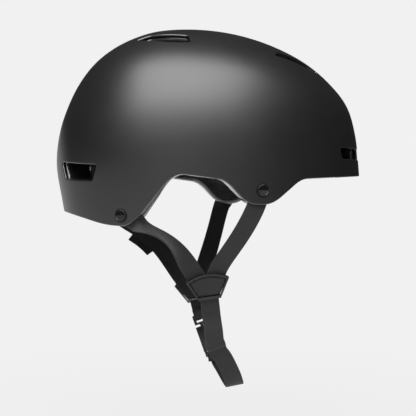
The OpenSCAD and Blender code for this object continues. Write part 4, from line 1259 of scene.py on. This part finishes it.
# %% Dividers and buckle
FINE_EDGE, SOCKET_EDGE = 0.45, 0.8
for node, body, width in (
        ("divider_right", "divider_right_body", FINE_EDGE),
        ("divider_left", "divider_left_body", FINE_EDGE),
        ("buckle_plug", "chin_loop", FINE_EDGE), ("buckle_socket", "socket_body", SOCKET_EDGE),
        ("prong_front", "prong_front_body", FINE_EDGE), ("prong_rear", "prong_rear_body", FINE_EDGE)):
    form = node_form(node, f"{node}_moulding")
    if node in DIVIDERS:
        open_window(form, DIVIDERS[node])
    dress(rounded_edges(form, width), FITTING, body, node)

# %% [markdown]
# Stitches are the same short capsule many times over, so Geometry Nodes set them too. Rows go
# where webbing is doubled: above the plug and at the hem of the tail, on both faces of the tape.


# %% Stitches
STITCH_L, STITCH_R, PITCH, BOX_HALF = 1.05, 0.3, 2.7, 6.6


def stitch_row(stations, start, end, face, thick=WEB_T):
    """Places and axes of stitches between two points (station, offset across) of a ribbon."""
    p = np.array([q[0] for q in stations], float)
    run = unit(np.gradient(p, axis=0))
    across = np.array([unit(q[1]) for q in stations], float)
    across = unit(across - run * np.sum(run * across, 1, keepdims=True))
    raised = p + np.cross(run, across) * face * (thick / 2 + 0.05)

    def at(f):
        k, off = mix(start[0], end[0], f), mix(start[1], end[1], f)
        i = min(int(k), len(p) - 2)
        return mix(raised[i] + across[i] * off, raised[i + 1] + across[i + 1] * off, k - i)

    length = sum(math.dist(at(f), at(f + 0.05)) for f in np.arange(0, 1, 0.05))
    count = max(1, round(length / PITCH))
    return [(at((k + 0.5) / count), unit(at((k + 0.6) / count) - at((k + 0.4) / count)))
            for k in range(count)]


def box_rows(stations, low, high):
    """Sewn boxes on both faces of a tape, each with two rows along the tape and two across it."""
    ends = [((low, -BOX_HALF), (low, BOX_HALF)), ((high, -BOX_HALF), (high, BOX_HALF)),
            ((low, -BOX_HALF), (high, -BOX_HALF)), ((low, BOX_HALF), (high, BOX_HALF))]
    return [place for face in (-1, 1) for a, b in ends for place in stitch_row(stations, a, b, face)]


def stitches(name, places):
    capsule = [(0, -STITCH_L), (0.2, 0.1 - STITCH_L),
               (STITCH_R, 0.35 - STITCH_L), (STITCH_R, STITCH_L - 0.35),
               (0.2, STITCH_L - 0.1), (0, STITCH_L)]
    return copies_on(name, places, spun("stitch_form", capsule, 8), THREAD)


TAIL = len(chin)
dress(stitches("plug_stitches", box_rows(web_left, 1.2, 3.6)), THREAD, "chin_loop", "web_left")
dress(stitches("tail_stitches", box_rows(chin, TAIL - 1.9, TAIL - 1.25)), THREAD, "socket_body",
      "chin_strap")

# %% [markdown]
# The comfort pads are thin cushions of foam in brushed knit. Each one starts a little smaller than
# its solid and is blown up by Blender's cloth simulation, which rounds its rim and gives the knit
# its slight unevenness. How far a point may move is capped, so no pad leaves its place.

# %% Comfort pads
PAD_VOXEL, PAD_SHRINK, PAD_CAP, PAD_FRAMES, PAD_FILL = 3.0, 0.6, 1.3, 14, 0.6


def blown(pad, rest):
    """Points of a pad after cloth under pressure has swelled it, none further off than the cap."""
    normal = read_points(pad.data, "vertex_normals", "vector")
    write_points(pad.data, rest - normal * PAD_SHRINK * MM)
    cloth = pad.modifiers.new("cloth", "CLOTH").settings
    cloth.use_pressure = True
    cloth.uniform_pressure_force = 4
    cloth.effector_weights.gravity = 0
    cloth.quality = 4
    for f in range(1, PAD_FRAMES + 1):
        bpy.context.scene.frame_set(f)
    swelled = pad.evaluated_get(bpy.context.evaluated_depsgraph_get()).data
    shift = read_points(swelled) - rest
    pad.modifiers.clear()
    bpy.context.scene.frame_set(1)
    reach = np.linalg.norm(shift, axis=1, keepdims=True)
    print(f"{pad.name}: cloth moved a point by up to {reach.max() / MM:.2f} mm before the cap")
    return rest + shift * np.minimum(1, PAD_CAP * MM / np.maximum(reach, 1e-9))


def swollen(node, name):
    """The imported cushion, remeshed and swelled."""
    pad = node_form(node, name)
    remesh = pad.modifiers.new("even faces", "REMESH")
    remesh.mode, remesh.voxel_size = "VOXEL", PAD_VOXEL * MM
    finished(pad)
    write_points(pad.data, blown(pad, read_points(pad.data)))
    even = pad.modifiers.new("smooth", "SMOOTH")
    even.factor, even.iterations = 0.5, 2
    finer = pad.modifiers.new("finer", "SUBSURF")
    finer.levels = finer.render_levels = 1
    return finished(pad)


for node in ("pad_brow", "pad_crown", "pad_left", "pad_right", "pad_rear"):
    pad = dress(swollen(node, f"{node}_cushion"), PAD, "helmet", node)

# %% [markdown]
# Hook tape holds the pads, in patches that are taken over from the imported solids. The label is a
# scrap of narrower tape beside the far rear strap, sewn along one edge and left blank.

# %% Hook tape and the blank label
PATCH_EDGE, LABEL_FROM, LABEL_TO = 0.25, 20, 35
LABEL_W, LABEL_T, LABEL_OFF, LABEL_SEAM = 7.8, 1.0, WEB_W / 2 + 3.3, 2.4
patches = rounded_edges(node_form("hook_patches", "hook_patch_tape"), PATCH_EDGE, 2)
dress(patches, HOOKS, "helmet", "hook_patches")
tag_run = [(p - unit(a) * LABEL_OFF, a) for p, a in V_STRAPS["rear_left"][LABEL_FROM:LABEL_TO]]
dress(ribbon("blank_label", tag_run, LABEL_W, LABEL_T), LABEL, SWINGING, "strap_label")
seam = [place for face in (-1, 1)
        for place in stitch_row(tag_run, (0.5, LABEL_SEAM), (13.5, LABEL_SEAM), face, LABEL_T)]
dress(stitches("label_stitches", seam), THREAD, SWINGING, "strap_label")

# %% [markdown]
# The studio is plain: a pale floor and backdrop, a large soft lamp above the helmet on the
# camera's side, and two weaker ones lower down. To the camera the world, the floor and the
# backdrop are equally pale, but for a faint shadow near the helmet. Glossy rays find the world
# almost black, so the matt shell stays dark, and the backdrop pale, so glancing edges pick it up
# as they do in the photograph. For them the floor is bright close to the helmet and towards its
# rear, and dim ahead of it, because the photograph's table is mirrored in the rear of the shell
# and not in its front.


# %% Helpers for the studio
PALE = (0.880, 0.880, 0.885, 1)


def stage_tree(owner):
    """An emptied node tree with an output; gives the tree, the output's socket and the light path."""
    owner.use_nodes = True
    tree = owner.node_tree
    tree.nodes.clear()
    kind = "ShaderNodeOutputWorld" if isinstance(owner, bpy.types.World) else "ShaderNodeOutputMaterial"
    return tree, add(tree, kind).inputs[0], add(tree, "ShaderNodeLightPath").outputs


def mixed(tree, factor, first, second):
    return add(tree, "ShaderNodeMixShader", {0: factor, 1: first, 2: second}).outputs[0]


def pale_light(tree, kind, strength):
    return add(tree, kind, {"Color": PALE, "Strength": strength}).outputs[0]


def ranged(tree, value, start, stop, first, last):
    """Runs from first to last as the value goes from start to stop."""
    return add(tree, "ShaderNodeMapRange", {
        "Value": value, "From Min": start, "From Max": stop,
        "To Min": first, "To Max": last}).outputs["Result"]


def staged(name, points, tree_of):
    """A flat face of the studio with a material of its own."""
    made = put_mesh(name, points, [range(len(points))])
    made.data.materials.append(bpy.data.materials.new(f"pale {name}"))
    tree_of(*stage_tree(made.data.materials[0]))
    return made


def soft_lamp(name, where, aim, width, height, watts):
    lamp = aimed(in_scene(name, bpy.data.lights.new(name, "AREA")), where, aim)
    lamp.data.shape = "RECTANGLE"
    lamp.data.size, lamp.data.size_y, lamp.data.energy = width, height, watts
    print(f"{name}: {watts} W, {width} by {height} m")


# %% World, floor and lamps
FLOOR_Z, FLOOR_R, FLOOR_SIDES = -240, 3000, 64
BOARD_X, BOARD_Y, BOARD_TOP = (-2600, 700), 2600, 330
world = bpy.data.worlds.new("studio")
bpy.context.scene.world = world
tree, output, path = stage_tree(world)
clear = calc(tree, "MAXIMUM", path["Is Camera Ray"], path["Is Transmission Ray"])
fill = mixed(tree, path["Is Glossy Ray"], pale_light(tree, "ShaderNodeBackground", 0.22),
             pale_light(tree, "ShaderNodeBackground", 0.04))
feed(tree, output, mixed(tree, clear, fill, pale_light(tree, "ShaderNodeBackground", 1.0)))


def floor_shader(tree, output, path):
    where = add(tree, "ShaderNodeTexCoord").outputs["Object"]
    away = add(tree, "ShaderNodeVectorMath", {0: where}, operation="LENGTH").outputs["Value"]
    along = add(tree, "ShaderNodeSeparateXYZ", {0: where}).outputs["X"]
    matt = add(tree, "ShaderNodeBsdfDiffuse", {"Color": (0.45, 0.45, 0.45, 1)}).outputs[0]
    plain = calc(tree, "MULTIPLY", path["Is Camera Ray"], ranged(tree, away, 0.3, 0.8, 0.95, 1.0))
    shown = mixed(tree, plain, matt, pale_light(tree, "ShaderNodeEmission", 1.0))
    rearward = ranged(tree, along, -0.1, 0.45, 1.0, 0.12)
    near = ranged(tree, away, 0.37, 0.48, 1.0, 0.0)
    mirrored = pale_light(tree, "ShaderNodeEmission", calc(tree, "MAXIMUM", rearward, near))
    feed(tree, output, mixed(tree, path["Is Glossy Ray"], shown, mirrored))


def board_shader(tree, output, path):
    seen = calc(tree, "MAXIMUM", path["Is Glossy Ray"],
                calc(tree, "MAXIMUM", path["Is Camera Ray"], path["Is Transmission Ray"]))
    feed(tree, output, mixed(tree, seen, pale_light(tree, "ShaderNodeEmission", 0.22),
                             pale_light(tree, "ShaderNodeEmission", 1.0)))


turn = 2 * math.pi * np.arange(FLOOR_SIDES) / FLOOR_SIDES
staged("floor", [(FLOOR_R * math.cos(a), FLOOR_R * math.sin(a), FLOOR_Z) for a in turn], floor_shader)
# the board stands low behind the helmet, where the rims of foam and shell mirror it
staged("backdrop", [(BOARD_X[0], BOARD_Y, FLOOR_Z), (BOARD_X[1], BOARD_Y, FLOOR_Z),
                    (BOARD_X[1], BOARD_Y, BOARD_TOP), (BOARD_X[0], BOARD_Y, BOARD_TOP)], board_shader)
soft_lamp("key lamp", (-0.28, -0.80, 1.40), (-0.02, 0, 0.03), 1.8, 1.65, 54)
soft_lamp("middle fill", (-0.40, -1.48, 0.74), (0, 0, 0.03), 1.4, 0.45, 4.5)
soft_lamp("front fill", (-0.3, -2.2, 0.15), (0, 0, 0), 1.6, 0.8, 1.2)
